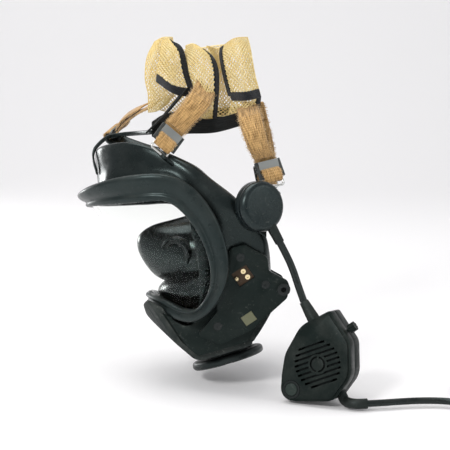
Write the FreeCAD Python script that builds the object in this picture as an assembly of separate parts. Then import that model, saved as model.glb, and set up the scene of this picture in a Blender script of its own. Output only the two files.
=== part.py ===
import FreeCAD, Part
import math
import os

# Full face respirator with a head harness, a voice module and a lapel microphone.
# Millimetres. The part's frame has +Z up and its origin at the centre of the face opening.
# The facepiece is drawn upright in its own mask frame (+x towards the wearer's back of head,
# +y to the wearer's right, +z up) and then turned into its lowered pose.

Vec = FreeCAD.Vector

# ---- pose of the facepiece ----
LEAN = 10.0                    # roll of the mask about +X, crown away from the microphone
NOSE_DOWN = 33.8               # pitch of the mask, visor towards the floor
FACE_CENTRE = Vec(9.8, 0, 41.1)    # centre of the face opening, in the mask frame
FLOOR_Z = -181.0               # height of the surface the microphone stands on

# ---- fits ----
SOFT_GAP = 0.3                 # soft or moulded piece beside its neighbour
RUN_GAP = 0.1                  # radial clearance of a piece that turns or slides
SEAT_GAP = 0.2                 # closed valve above its seat

# ---- visor ----
LENS_R = 85.0
LENS_WALL = 2.5
RING_R = 92.0
RING_INNER_R = 80.5
RING_REAR_X = 20.0            # rearmost limit of the ring
LENS_LAP = 6.0                 # lens edge held inside the ring, all round
WINDOW = [(-140, 121, 0), (-16, 48, 20), (-9, 14, 50), (-20, -44, 34), (-57, -56, 12), (-140, 81, 0)]
RING_EDGE = [(-140, 106, 0), (-80, 107, 30), (8, 70, 40), (15, 10, 70), (3, -57, 64), (-70, -62, 12), (-140, 66, 0)]

# ---- rubber facepiece ----
SKIRT_WALL = 3.0
SKIRT_AXIS_Z = 45.0
# angle from the crown, then (x, distance from the axis) of front edge, waist, rim and inner lip
SKIRT_STATIONS = [
    (0, (-79, 55), (-64, 74), (-50, 89), (-34, 80)),
    (22, (-76, 57), (-58, 76), (-32, 86), (-14, 74)),
    (42, (-66, 62), (-40, 80), (-6, 80), (6, 66)),
    (72, (-22, 80), (0, 77), (15, 78), (20, 60)),
    (92, (-14, 77), (4, 77), (23, 79), (26, 60)),
    (114, (-16, 83), (6, 84), (34, 87), (34, 68)),
    (135, (-32, 99), (6, 98), (39, 97), (34, 78)),
    (150, (-56, 114), (-20, 112), (32, 108), (28, 88)),
    (180, (-80, 75), (-48, 104), (12, 124), (14, 104)),
]
EAR_W = 22.0
EAR_WALL = 4.0

# ---- nose cup ----
CUP_WALL = 2.5
# x, centre height, half height, half width of each oval section
CUP_SECTIONS = [(-4, -18, 42, 41), (-28, -11, 42, 40), (-46, -2, 39, 32), (-62, 10, 27, 20), (-70, 12, 13, 9)]
NECK_R = 15.0
NOSE_VALVE_R = 13.0
NOSE_VALVE_AT = Vec(-41, -34.5, 4)
NOSE_VALVE_YAW = 36.0
NOSE_VALVE_LIFT = 1.5

# ---- air port under the chin ----
PORT_MOUTH = Vec(-57.5, 0, -114.1)
PORT_TILT = 17.4
PORT_BORE = 16.0
PORT_NECK_R = 19.5
NECK_L = 28.0                  # port neck above its mouth
FLANGE_R = 36.0
FLANGE_T = 8.0
COLLAR_R = 23.0
GASKET_T = 2.0
INLET_LIFT = 2.5
FLOOR_RISE = 17.0              # housing floor above the port's mouth, along the port's axis

# ---- chin housing, guard and side plates ----
HOUSING_FRONT_X = -77.0
HOUSING_HEEL_X = -30.0
HOUSING_HALF = 50.0
HOUSING_WALL = 3.0
HOUSING_R = 94.5
GUARD_WALL = 5.0
GUARD_R = 99.5
GUARD_TOOTH = 2.0
GUARD_TEETH = 8
PLATE_ORIGIN = Vec(0, -76, -20)
PLATE_TOE_IN = 4.0
PLATE_LEAN = 12.0
PLATE_WALL = 4.0
PLATE = [(7, -2, 3), (19, -6, 4), (30, -28, 5), (24, -40, 5), (34, -60, 6), (24, -72, 8), (-22, -79, 20),
         (-54, -74, 6), (-67, -54, 3), (-38, -45, 0), (-20, -14, 0)]
LUG_AT = (25.5, -62.5)
LUG_R = 6.5
LUG_BORE = 4.0
RECESS_AT = (1, -30)
RECESS_W = 17.0
RECESS_H = 15.0
INSERT_AT = (-17.5, -68)
INSERT_W = 12.0
INSERT_H = 10.0
SCREW_R = 2.0
PLATE_SCREWS = [(9, -14), (14, -49.5), (-46, -57.5)]

# ---- exhalation valve behind the port ----
EXHALE_X = -12.0
EXHALE_R = 12.5
EXHALE_LIFT = 2.0
EXHALE_HOLE = 16.5

# ---- strap buckles ----
STRAP_W = 20.0
STRAP_T = 2.4
FRAME_TOP = 10.0               # from the frame's centre to its top edge
FRAME_RIM = 3.0
FRAME_T = 2.4
BAR_X = 2.5
BAR_REST = 16.0
BAR_PIN_R = 1.0
LINK_R = 1.1
LINK_HALF = 9.0
EYE_HALF = 6.2
FRAME_EYE_X = -9.5
EAR_EYE_X = -16.5
# name, buckle centre, end of the strap at the net, direction across the strap, root of the ear
BUCKLES = [
    ("forehead_left", Vec(-27.3, -63.2, 61.2), Vec(9, -30, 108), Vec(-0.76, -0.12, 0.64), (6, -67, 82)),
    ("forehead_right", Vec(-87, 71, 55), Vec(-38, 9, 90), Vec(0.1, 0.98, 0.1), (-8, 52, 103)),
    ("temple_left", Vec(69.5, -47, 29), Vec(48, -20, 88), Vec(-0.85, -0.4, -0.3), (37, -74, -14)),
    ("temple_right", Vec(69.8, 53.7, 11), Vec(54, 8, 90), Vec(-0.85, 0.4, -0.3), (37, 74, -14)),
]

# ---- head harness ----
NET_T = 6.0
NET_LOW = 72.0
NET_TOP = 158.0
NET_PATH = [(-12, -28), (-46, -22), (-57, -2), (-36, 10), (-10, 0), (4, -28), (18, -30), (24, -2),
            (36, -22), (58, -18), (64, 4), (44, 24)]
HEM_H = 7.0
CROWN_BAND = [Vec(-101, -15, 27), Vec(-106, -6, 42), Vec(-102, 5, 53), Vec(-88, 15, 57.5),
              Vec(-72, 14, 58), Vec(-48, -36, 66), Vec(-38, -66, 60)]
CROWN_BAND_W = 7.0
CROWN_BAND_T = 2.5

# ---- voice module on the left temple ----
MODULE_AT = Vec(48, -77, -2)
MODULE_AXIS = Vec(0.453, -0.839, -0.303)
MODULE_R = 24.0
MODULE_BASE_T = 6.0
MODULE_DOME = 8.0
MODULE_WALL = 2.0
FOOT_R = 7.0                   # post on the back of the module, down to the skirt
FOOT_L = 14.0
FOOT_OUT = 12.0
GLAND_AXIS = Vec(-0.09, 0.22, -0.97)
GLAND_L = 15.0

# ---- lapel microphone ----
MIC_AT = Vec(112.4, -115.1, -143.5)
MIC_YAW = 25.0
MIC_LEAN = 8.0
MIC_T = 27.0
MIC_SPLIT = 13.0               # depth of the joint between the front and back shells
MIC_WALL = 2.0
MIC_OUTLINE = [(8, 51, 3), (30, 24, 14), (33, -8, 22), (17, -33, 16), (-20, -37.5, 6), (-36, -37, 11.4),
               (-36, -14, 11), (-34, 6, 30), (-20, 34, 26)]
MIC_TAPER = 2.5
PTT_AT = (-24.6, -26.6)
PTT_R = 6.0
PTT_RING_R = 8.6
PTT_TRAVEL = 1.5
GRILLE_R = 23.0
SLOT_W = 2.0
SLOT_PITCH = 4.6
SLOT_SLANT = 24.0
SPEAKER_R = 20.0
KNOB_AT = (22.5, 32.5)
KNOB_R = 4.5
KNOB_L = 8.0
KNOB_TURN = 38.0
CLIP_HINGE_V = 16.0
CLIP_GAP = 7.0
CLIP_W = 20.0
CLIP_PIN_R = 1.5

# ---- leads ----
MIC_LEAD_R = 3.5
MIC_LEAD = [Vec(79.4, -79.0, -33.6), Vec(84.6, -80.6, -47.0), Vec(90.8, -81.6, -61.0), Vec(95.6, -84.0, -76.0),
            Vec(100.8, -88.2, -90.0)]
RADIO_LEAD_R = 3.2
RADIO_LEAD = [Vec(158, -127, -177.6), Vec(172, -125, -177.6), Vec(188, -121, -177.6), Vec(208, -117.5, -177.6),
              Vec(228, -118, -177.6), Vec(246, -124, -177.6), Vec(262, -135.5, -177.6)]
COIL_AT = Vec(288, -100, 0)
COIL_R = 35.0
COIL_H = 19.0
PLUG_L = 34.0
PLUG_R = 6.5


# ---------------------------------------------------------------- helpers

def rounded_path(points, radii, closed):
    """Straight runs joined by tangent arcs of the given radii at the corners."""
    count = len(points)
    edges = []
    ends = []
    for i in range(count):
        if radii[i] <= 0 or (not closed and i in (0, count - 1)):
            ends.append((points[i], points[i]))
            continue
        corner = points[i]
        back = (points[i - 1] - corner).normalize()
        ahead = (points[(i + 1) % count] - corner).normalize()
        half = back.getAngle(ahead) / 2
        reach = radii[i] / math.tan(half)
        middle = (back + ahead).normalize()
        nearest = radii[i] / math.sin(half) - radii[i]
        first = corner + back * reach
        last = corner + ahead * reach
        ends.append((first, last))
        edges.append((i, Part.Arc(first, corner + middle * nearest, last).toShape()))
    arcs = dict(edges)
    path = []
    for i in range(count if closed else count - 1):
        if i in arcs:
            path.append(arcs[i])
        start = ends[i][1]
        end = ends[(i + 1) % count][0]
        if start.distanceToPoint(end) > 1e-6:
            path.append(Part.LineSegment(start, end).toShape())
    return Part.Wire(path)


def side_face(corners, grow=0.0):
    """Flat face in the mask's XZ plane, from corners given as (x, z, radius)."""
    points = [Vec(x, 0, z) for x, z, radius in corners]
    face = Part.Face(rounded_path(points, [corner[2] for corner in corners], True))
    if grow:
        face = Part.Face(face.OuterWire.makeOffset2D(grow))
    return face


def side_prism(corners, half_width, grow=0.0):
    """Side outline carried through from -half_width to +half_width."""
    face = side_face(corners, grow)
    face.translate(Vec(0, -half_width, 0))
    return face.extrude(Vec(0, 2 * half_width, 0))


def cylinder(radius, height, base=Vec(0, 0, 0), axis=Vec(0, 0, 1)):
    return Part.makeCylinder(radius, height, base, axis)


def tube(outer, inner, height, base=Vec(0, 0, 0), axis=Vec(0, 0, 1)):
    """Hollow cylinder whose bore runs past both ends before it is cut."""
    hole = cylinder(inner, height + 2, base - axis * 1.0, axis)
    return cylinder(outer, height, base, axis).cut(hole)


def standing_tube(outer, inner):
    """Tall tube about the visor's axis."""
    return tube(outer, inner, 400, Vec(0, 0, -200))


def biggest(shape):
    """The main solid, without trimmed-off slivers."""
    return max(shape.Solids, key=lambda solid: solid.Volume)


def mirrored(shape):
    return shape.mirror(Vec(0, 0, 0), Vec(0, 1, 0))


def wall_outline(points, thickness):
    """Closed outline, in a plane, of a wall of even thickness along an open run of 2D points."""
    left = []
    right = []
    for i, (x, y) in enumerate(points):
        x0, y0 = points[max(i - 1, 0)]
        x1, y1 = points[min(i + 1, len(points) - 1)]
        if 0 < i < len(points) - 1:
            a = math.atan2(y - y0, x - x0)
            b = math.atan2(y1 - y, x1 - x)
            turn = (b - a + math.pi) % (2 * math.pi) - math.pi
            normal = a + turn / 2 + math.pi / 2
            reach = thickness / 2 / max(math.cos(turn / 2), 0.5)
        else:
            normal = math.atan2(y1 - y0, x1 - x0) + math.pi / 2
            reach = thickness / 2
        step = (math.cos(normal) * reach, math.sin(normal) * reach)
        left.append((x + step[0], y + step[1]))
        right.append((x - step[0], y - step[1]))
    return left + right[::-1]


def band(points, across, width, thickness):
    """Flat band through points that lie in one plane square to the direction across."""
    across = Vec(across).normalize()
    start = points[0]
    along = points[-1] - start
    along = (along - across * along.dot(across)).normalize()
    out = across.cross(along)
    flat = [((p - start).dot(along), (p - start).dot(out)) for p in points]
    corners = [start + along * a + out * b - across * (width / 2) for a, b in wall_outline(flat, thickness)]
    return Part.Face(Part.makePolygon(corners + corners[:1])).extrude(across * width)


def route_radii(points):
    """Arc radius at each inner corner of a lead: 0.45 of the shorter run over tan(half the turn)."""
    radii = [0.0]
    for before, corner, after in zip(points, points[1:], points[2:]):
        turn = (corner - before).getAngle(after - corner)
        shorter = min((corner - before).Length, (after - corner).Length)
        radii.append(0.45 * shorter / math.tan(turn / 2))
    return radii + [0.0]


def lead_tube(name, points, radius):
    """Round lead along straight runs and tangent arcs; prints its radii and checks its volume."""
    radii = route_radii(points)
    path = rounded_path(points, radii, False)
    direction = (points[1] - points[0]).normalize()
    circle = Part.Wire(Part.Circle(points[0], direction, radius).toShape())
    solid = path.makePipeShell([circle], True, True)
    expected = math.pi * radius ** 2 * path.Length
    print(name, "length %.1f" % path.Length, "radii", [round(r) for r in radii[1:-1]],
          "volume ratio %.4f" % (solid.Volume / expected))
    return solid


def coil_spring(radius, wire, length, turns):
    """Closed-wire compression spring along +Z from z = 0."""
    pitch = (length - 2 * wire) / turns
    helix = Part.makeHelix(pitch, pitch * turns, radius)
    section = Part.Wire(Part.Circle(Vec(radius, 0, 0), Vec(0, 1, 0), wire).toShape())
    spring = Part.Wire(helix.Edges).makePipeShell([section], True, True)
    spring.translate(Vec(0, 0, wire))
    return spring


def turned(shape, axis_to, at):
    """Move a shape drawn about +Z so that +Z becomes axis_to and the origin becomes at."""
    copy = shape.copy()
    copy.Placement = FreeCAD.Placement(at, FreeCAD.Rotation(Vec(0, 0, 1), axis_to)).multiply(copy.Placement)
    return copy


MASK = (FreeCAD.Placement(Vec(), FreeCAD.Rotation(Vec(1, 0, 0), -LEAN))
        .multiply(FreeCAD.Placement(Vec(), FreeCAD.Rotation(Vec(0, 1, 0), -NOSE_DOWN)))
        .multiply(FreeCAD.Placement(FACE_CENTRE * -1, FreeCAD.Rotation())))


def in_mask(shape):
    """Turn a shape from the mask frame into the part's frame."""
    copy = shape.copy()
    copy.Placement = MASK.multiply(copy.Placement)
    return copy


pieces = {}

# ---------------------------------------------------------------- visor ring and lens

ring_band = side_prism(RING_EDGE, 120).cut(side_prism(WINDOW, 130))
lens_blank = side_prism(WINDOW, 130, LENS_LAP)
groove = standing_tube(LENS_R + SOFT_GAP, LENS_R - LENS_WALL - SOFT_GAP).common(side_prism(WINDOW, 130, LENS_LAP + SOFT_GAP))
front_half = Part.makeBox(140 + RING_REAR_X, 240, 400, Vec(-140, -120, -200))
ring = standing_tube(RING_R, RING_INNER_R).common(ring_band).cut(groove).common(front_half)
lens = standing_tube(LENS_R, LENS_R - LENS_WALL).common(lens_blank).common(front_half)
ring_space = standing_tube(RING_R + SOFT_GAP, RING_INNER_R - SOFT_GAP).common(side_prism(RING_EDGE, 130, SOFT_GAP))
pieces["visor_ring"] = in_mask(biggest(ring))
pieces["visor_lens"] = in_mask(biggest(lens))


# ---------------------------------------------------------------- rubber facepiece

def station_wire(angle, profile):
    """Closed section of the skirt, in the plane through the face axis at this angle from the crown."""
    a = math.radians(angle)
    corners = [Vec(x, -rho * math.sin(a), SKIRT_AXIS_Z + rho * math.cos(a)) for x, rho in profile]
    return Part.makePolygon(corners + corners[:1])


def skirt_half():
    wires = []
    for angle, *run in SKIRT_STATIONS:
        wires.append(station_wire(angle, wall_outline(run, SKIRT_WALL)))
    return Part.makeLoft(wires, True, True)


def skirt_room():
    """Everything inside the skirt's outer face, grown by a clearance, for trimming its neighbours."""
    grow = SKIRT_WALL / 2 + SOFT_GAP
    wires = []
    for angle, *run in SKIRT_STATIONS:
        outer = wall_outline(run, SKIRT_WALL + 2 * SOFT_GAP)[:3]
        front = outer[0][0] - grow
        profile = [(front, 0), (front, outer[0][1])] + outer[1:] + [(outer[2][0] + grow, outer[2][1]), (outer[2][0] + grow, 0)]
        wires.append(station_wire(angle, profile))
    half = Part.makeLoft(wires, True, True)
    return half.fuse(mirrored(half))


half_skirt = skirt_half().cut(ring_space)
skirt = half_skirt.fuse(mirrored(half_skirt)).removeSplitter()
face_room = skirt_room()


# ---------------------------------------------------------------- chin housing and guard

def port_point(height):
    """Point on the port's axis, this far above the mouth."""
    return PORT_MOUTH + port_up * height


def floor_z(x):
    """Height of the housing's floor, square to the port's axis, at this x."""
    middle = port_point(FLOOR_RISE)
    return middle.z - (x - middle.x) * math.tan(math.radians(PORT_TILT))


port_up = Vec(math.sin(math.radians(PORT_TILT)), 0, math.cos(math.radians(PORT_TILT)))
HOUSING = [(-91, -24, 0), (-94, -31, 3), (HOUSING_FRONT_X, floor_z(HOUSING_FRONT_X), 8),
           (HOUSING_HEEL_X, floor_z(HOUSING_HEEL_X), 4), (6, -88, 6), (12, -70, 4), (12, -50, 0), (-68, -60, 0)]
floor_a, floor_b = HOUSING[3], HOUSING[4]
floor_slope = (floor_b[1] - floor_a[1]) / (floor_b[0] - floor_a[0])
exhale_at = Vec(EXHALE_X, 0, floor_a[1] + floor_slope * (EXHALE_X - floor_a[0]))
exhale_out = Vec(floor_slope, 0, -1).normalize()

housing_block = side_prism(HOUSING, HOUSING_HALF).common(cylinder(HOUSING_R, 300, Vec(0, 0, -200)))
room_half = HOUSING_HALF - HOUSING_WALL
housing_room = side_prism(HOUSING, room_half, -HOUSING_WALL).common(cylinder(HOUSING_R - HOUSING_WALL, 300, Vec(0, 0, -200)))
housing = housing_block.cut(housing_room)
for space in (face_room, ring_space):
    housing = housing.cut(space)
housing = housing.cut(cylinder(PORT_NECK_R + SOFT_GAP, 60, port_point(5), port_up))
housing = housing.cut(cylinder(EXHALE_R + 2 + SOFT_GAP, 20, exhale_at - exhale_out * 10, exhale_out))
pieces["chin_housing"] = in_mask(biggest(housing))

guard = side_prism(HOUSING, HOUSING_HALF - 4, GUARD_WALL)
guard = guard.cut(side_prism(HOUSING, HOUSING_HALF, SOFT_GAP).common(cylinder(HOUSING_R + SOFT_GAP, 300, Vec(0, 0, -200))))
guard = guard.common(cylinder(GUARD_R, 300, Vec(0, 0, -200))).cut(standing_tube(GUARD_R + 1, GUARD_R + 0.5))
guard = guard.cut(Part.makeBox(60, 200, 200, Vec(4, -100, -72)))
guard = guard.cut(cylinder(RING_INNER_R, 100, Vec(0, 0, HOUSING[-1][1] - 2)))
for space in (face_room, ring_space):
    guard = guard.cut(space)
guard = guard.cut(cylinder(COLLAR_R + 1, 60, port_point(0), port_up))
guard = guard.cut(cylinder(EXHALE_HOLE, 30, exhale_at - exhale_out * 10, exhale_out))
for i in range(GUARD_TEETH):
    tooth_x = -38 + i * 5.5
    slot = Part.makeBox(2.2, 14, 12, Vec(tooth_x, -HOUSING_HALF, floor_a[1] - GUARD_WALL - 12 + GUARD_TOOTH + floor_slope * (tooth_x - floor_a[0])))
    guard = guard.cut(slot).cut(mirrored(slot))
pieces["chin_guard"] = in_mask(biggest(guard))

# ---------------------------------------------------------------- side plates

PLATE_PLACE = FreeCAD.Placement(PLATE_ORIGIN, FreeCAD.Rotation(Vec(0, 0, 1), -PLATE_TOE_IN)
                                .multiply(FreeCAD.Rotation(Vec(1, 0, 0), PLATE_LEAN)))


def on_plate(shape):
    """Place a shape drawn on the plate: x along it, z up it, outer face at y = 0, inside +y."""
    copy = shape.copy()
    copy.Placement = PLATE_PLACE.multiply(copy.Placement)
    return copy


def plate_peg(place, radius, depth, start=0.0):
    """Round peg that goes in from the plate's face."""
    return cylinder(radius, depth, Vec(place[0], start, place[1]), Vec(0, 1, 0))


plate_face = Part.Face(rounded_path([Vec(p, 0, q) for p, q, r in PLATE], [corner[2] for corner in PLATE], True))
plate = plate_face.extrude(Vec(0, PLATE_WALL, 0))
plate = plate.fuse(plate_peg(LUG_AT, LUG_R, 12, -2))
for place in PLATE_SCREWS[1:]:
    plate = plate.fuse(plate_peg(place, 4, 14, PLATE_WALL - 1))
plate = plate.cut(plate_peg(LUG_AT, LUG_BORE + SOFT_GAP, 30, -10))
for place in PLATE_SCREWS:
    plate = plate.cut(plate_peg(place, SCREW_R + RUN_GAP, 40, -10))
    plate = plate.cut(plate_peg(place, 2 * SCREW_R + RUN_GAP, 11.5, -10))
insert_cut = Part.makeBox(INSERT_W + 2 * SOFT_GAP, 12.7, INSERT_H + 2 * SOFT_GAP,
                          Vec(INSERT_AT[0] - INSERT_W / 2 - SOFT_GAP, -10, INSERT_AT[1] - INSERT_H / 2 - SOFT_GAP))
plate = plate.cut(insert_cut)
recess_cut = Part.makeBox(RECESS_W, 30, RECESS_H, Vec(RECESS_AT[0] - RECESS_W / 2, -10, RECESS_AT[1] - RECESS_H / 2))
left_plate = plate.cut(recess_cut)


def seated(shape):
    """Trim a plate to the skirt, ring and housing it stands on."""
    trimmed = on_plate(shape)
    for space in (face_room, ring_space, side_prism(HOUSING, HOUSING_HALF, SOFT_GAP).common(cylinder(GUARD_R, 300, Vec(0, 0, -200)))):
        trimmed = trimmed.cut(space)
    return biggest(trimmed)


pieces["side_plate_left"] = in_mask(seated(left_plate))
pieces["side_plate_right"] = in_mask(mirrored(seated(plate)))

bush = plate_peg(LUG_AT, LUG_BORE, 9, -1).cut(plate_peg(LUG_AT, LUG_BORE - 1.4, 20, -8))
bush = bush.fuse(plate_peg(LUG_AT, LUG_R - 0.6, 1, -3.2).cut(plate_peg(LUG_AT, LUG_BORE - 1.4, 20, -8)))
bush = bush.fuse(plate_peg(LUG_AT, LUG_BORE, 1.4, -2.4).cut(plate_peg(LUG_AT, LUG_BORE - 1.4, 20, -8)))
left_bush = on_plate(bush.removeSplitter())
pieces["lug_bushes"] = in_mask(Part.makeCompound([left_bush, mirrored(left_bush)]))

insert = Part.makeBox(INSERT_W, 2.0, INSERT_H, Vec(INSERT_AT[0] - INSERT_W / 2, 0.4, INSERT_AT[1] - INSERT_H / 2))
left_insert = on_plate(insert)
pieces["plate_inserts"] = in_mask(Part.makeCompound([left_insert, mirrored(left_insert)]))

block = Part.makeBox(RECESS_W - 2 * SOFT_GAP, 1.6, RECESS_H - 2 * SOFT_GAP,
                     Vec(RECESS_AT[0] - RECESS_W / 2 + SOFT_GAP, 1.6, RECESS_AT[1] - RECESS_H / 2 + SOFT_GAP))
SOCKETS = [(3.7, -26.7), (4.1, -33.5)]
STUD_AT = (-5.2, -29)
for place in SOCKETS + [STUD_AT]:
    block = block.cut(plate_peg(place, 1.6, 10, -2))
pieces["contact_block"] = in_mask(biggest(on_plate(block).cut(ring_space).cut(face_room)))
contacts = []
for place in SOCKETS:
    socket = plate_peg(place, 2.4, 1.0, 0.6).fuse(plate_peg(place, 1.5, 1.6, 1.6)).cut(plate_peg(place, 1.0, 2.0, 0))
    contacts.append(on_plate(socket).cut(face_room).cut(ring_space))
stud = plate_peg(STUD_AT, 1.5, 2.4, 0.8).fuse(Part.makeSphere(2.2, Vec(STUD_AT[0], -0.6, STUD_AT[1])))
contacts.append(on_plate(stud).cut(face_room).cut(ring_space))
pieces["contact_pins"] = in_mask(Part.makeCompound([contact.removeSplitter() for contact in contacts]))

screws = []
for place in PLATE_SCREWS:
    screw = plate_peg(place, 2 * SCREW_R, 1.3, 0.2).fuse(plate_peg(place, SCREW_R, 6, 1.5))
    screw = screw.cut(Part.makeBox(3.0, 1.0, 0.8, Vec(place[0] - 1.5, -0.2, place[1] - 0.4)))
    screws.append(biggest(on_plate(screw).cut(face_room).cut(ring_space)).removeSplitter())
pieces["plate_screws"] = in_mask(Part.makeCompound(screws + [mirrored(screw) for screw in screws]))

# ---------------------------------------------------------------- nose cup and its valves

def cup_skin(shrink, rear_push):
    wires = []
    for i, (x, mid, half_h, half_w) in enumerate(CUP_SECTIONS):
        x_here = x + (rear_push if i == 0 else 0) + (shrink if i == len(CUP_SECTIONS) - 1 else 0)
        ellipse = Part.Ellipse(Vec(0, 0, 0), half_h - shrink, half_w - shrink).toShape()
        wire = Part.Wire(ellipse)
        wire.Placement = FreeCAD.Placement(Vec(x_here, 0, mid), FreeCAD.Rotation(Vec(0, 1, 0), -90))
        wires.append(wire)
    return Part.makeLoft(wires, True, False)


cup_outer = cup_skin(0, 0)
cup_inner = cup_skin(CUP_WALL, 3)
neck_top = Vec(-38, 0, -22)
neck_foot = exhale_at - exhale_out * (HOUSING_WALL + 2.5)
neck_axis = (neck_foot - neck_top).normalize()
neck_l = (neck_foot - neck_top).Length
cup = cup_outer.fuse(cylinder(NECK_R, neck_l, neck_top, neck_axis)).cut(cup_inner)
cup = cup.cut(cylinder(NECK_R - CUP_WALL, neck_l + 4, neck_top - neck_axis * 2, neck_axis))
valve_out = Vec(-math.sin(math.radians(NOSE_VALVE_YAW)), -math.cos(math.radians(NOSE_VALVE_YAW)), 0)
boss = cylinder(NOSE_VALVE_R + 3, 9, NOSE_VALVE_AT - valve_out * 8, valve_out)
boss = boss.cut(cylinder(NOSE_VALVE_R + SOFT_GAP, 20, NOSE_VALVE_AT - valve_out * 10, valve_out))
boss_hole = cylinder(NOSE_VALVE_R + SOFT_GAP, 60, NOSE_VALVE_AT - valve_out * 12, valve_out)
boss_outside = boss.cut(cup_inner)
for part in (boss_outside, mirrored(boss_outside)):
    cup = cup.fuse(part)
cup = cup.cut(boss_hole).cut(mirrored(boss_hole))
cup_passage = cylinder(NECK_R + SOFT_GAP, neck_l + 30, neck_top - neck_axis * 2, neck_axis)
cup = cup.cut(cylinder(60, 60, neck_foot, exhale_out))
pieces["nose_cup"] = in_mask(biggest(cup))

seat = tube(NOSE_VALVE_R, NOSE_VALVE_R - 3, 4).fuse(cylinder(1.6, 4))
seat = seat.fuse(Part.makeBox(2 * NOSE_VALVE_R - 4, 1.6, 1.6, Vec(2 - NOSE_VALVE_R, -0.8, 0)))
seat = seat.fuse(Part.makeBox(1.6, 2 * NOSE_VALVE_R - 4, 1.6, Vec(-0.8, 2 - NOSE_VALVE_R, 0))).removeSplitter()
left_seat = turned(seat, valve_out, NOSE_VALVE_AT - valve_out * 4)
pieces["nose_valve_seats"] = in_mask(Part.makeCompound([left_seat, mirrored(left_seat)]))
flap = cylinder(NOSE_VALVE_R - 1, 0.8).cut(cylinder(0.8, 3, Vec(0, 0, -1)))
left_flap = turned(flap, valve_out * -1, NOSE_VALVE_AT - valve_out * (4 + SEAT_GAP))
pieces["nose_flap_left"] = in_mask(left_flap)
pieces["nose_flap_right"] = in_mask(mirrored(left_flap))

skirt = skirt.cut(cup_passage)
skirt = skirt.cut(cylinder(PORT_NECK_R + 8, 80, port_point(20), port_up))

# ---------------------------------------------------------------- air port

neck = cylinder(PORT_NECK_R, NECK_L, Vec(0, 0, 0.4))
neck = neck.fuse(cylinder(PORT_NECK_R + 2.5, 1.4, Vec(0, 0, 0.4)))
collar_low = FLANGE_T + SEAT_GAP
gasket_low = FLOOR_RISE - GASKET_T
neck = neck.fuse(cylinder(COLLAR_R, gasket_low - collar_low, Vec(0, 0, collar_low)))
neck = neck.cut(cylinder(PORT_BORE, 23, Vec(0, 0, -1))).cut(cylinder(PORT_BORE - 3, 40))
neck = neck.cut(cylinder(PORT_BORE + 1, 20, Vec(0, 0, 24))).removeSplitter()
pieces["port_neck"] = in_mask(turned(neck, port_up, PORT_MOUTH))

flange = cylinder(FLANGE_R, FLANGE_T)
rims = [edge for edge in flange.Edges if edge.Curve.TypeId == "Part::GeomCircle"]
flange = flange.makeChamfer(2.0, rims)
flange = flange.cut(cylinder(PORT_NECK_R + RUN_GAP, 20, Vec(0, 0, -5)))
flange = flange.cut(cylinder(PORT_NECK_R + 2.5 + SOFT_GAP, 2.0 + 1, Vec(0, 0, -1)))
for i in range(3):
    notch = Part.makeBox(6, 10, 2.5, Vec(-3, FLANGE_R - 5, -0.5))
    notch.rotate(Vec(0, 0, 0), Vec(0, 0, 1), 120 * i + 60)
    flange = flange.cut(notch)
pieces["port_flange"] = in_mask(turned(flange, port_up, PORT_MOUTH))

gasket = tube(COLLAR_R - 0.5, PORT_NECK_R + SEAT_GAP, GASKET_T, Vec(0, 0, gasket_low))
pieces["port_gasket"] = in_mask(turned(gasket, port_up, PORT_MOUTH))
clamp_low = FLOOR_RISE + HOUSING_WALL + SEAT_GAP
clamp = tube(PORT_NECK_R + 2, PORT_NECK_R + SEAT_GAP, 3.0, Vec(0, 0, clamp_low))
pieces["port_clamp_ring"] = in_mask(turned(clamp, port_up, PORT_MOUTH))
inlet = cylinder(PORT_BORE, 1.2, Vec(0, 0, 24 + SEAT_GAP))
pieces["inlet_disc"] = in_mask(turned(inlet, port_up, PORT_MOUTH))

# ---------------------------------------------------------------- exhalation valve

seat_z = -HOUSING_WALL
ex_seat = tube(EXHALE_R + 2, EXHALE_R - 2.5, HOUSING_WALL, Vec(0, 0, seat_z))
ex_seat = ex_seat.fuse(tube(EXHALE_R + 2, EXHALE_R - 2.5, 1.5, Vec(0, 0, seat_z - 1.5)))
pieces["exhale_seat"] = in_mask(turned(ex_seat.removeSplitter(), exhale_out, exhale_at))
ex_disc = cylinder(EXHALE_R, 1.2, Vec(0, 0, SEAT_GAP)).fuse(cylinder(2.4, 1.8, Vec(0, 0, SEAT_GAP)))
pieces["exhale_disc"] = in_mask(turned(ex_disc.removeSplitter(), exhale_out, exhale_at))
spring_low = SEAT_GAP + 1.2
cover_floor = 5.6
cover = cylinder(EXHALE_HOLE - SOFT_GAP, cover_floor + 1.5).cut(cylinder(EXHALE_HOLE - 2, cover_floor, Vec(0, 0, -0.001)))
for i in range(5):
    length = 2 * math.sqrt((EXHALE_HOLE - 4) ** 2 - (5.2 * (i - 2)) ** 2)
    cover = cover.cut(Part.makeBox(length, 2.4, 6, Vec(-length / 2, 5.2 * (i - 2) - 1.2, cover_floor - 2)))
cover = cover.fuse(tube(6.6, 2.6, 1.5, Vec(0, 0, cover_floor))).removeSplitter()
pieces["exhale_cover"] = in_mask(turned(cover, exhale_out, exhale_at + exhale_out * SEAT_GAP))
spring = coil_spring(4.6, 0.5, cover_floor - spring_low, 2)
pieces["exhale_spring"] = in_mask(turned(spring, exhale_out, exhale_at + exhale_out * (spring_low + SEAT_GAP / 2)))

# ---------------------------------------------------------------- ears, buckles and straps

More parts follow.
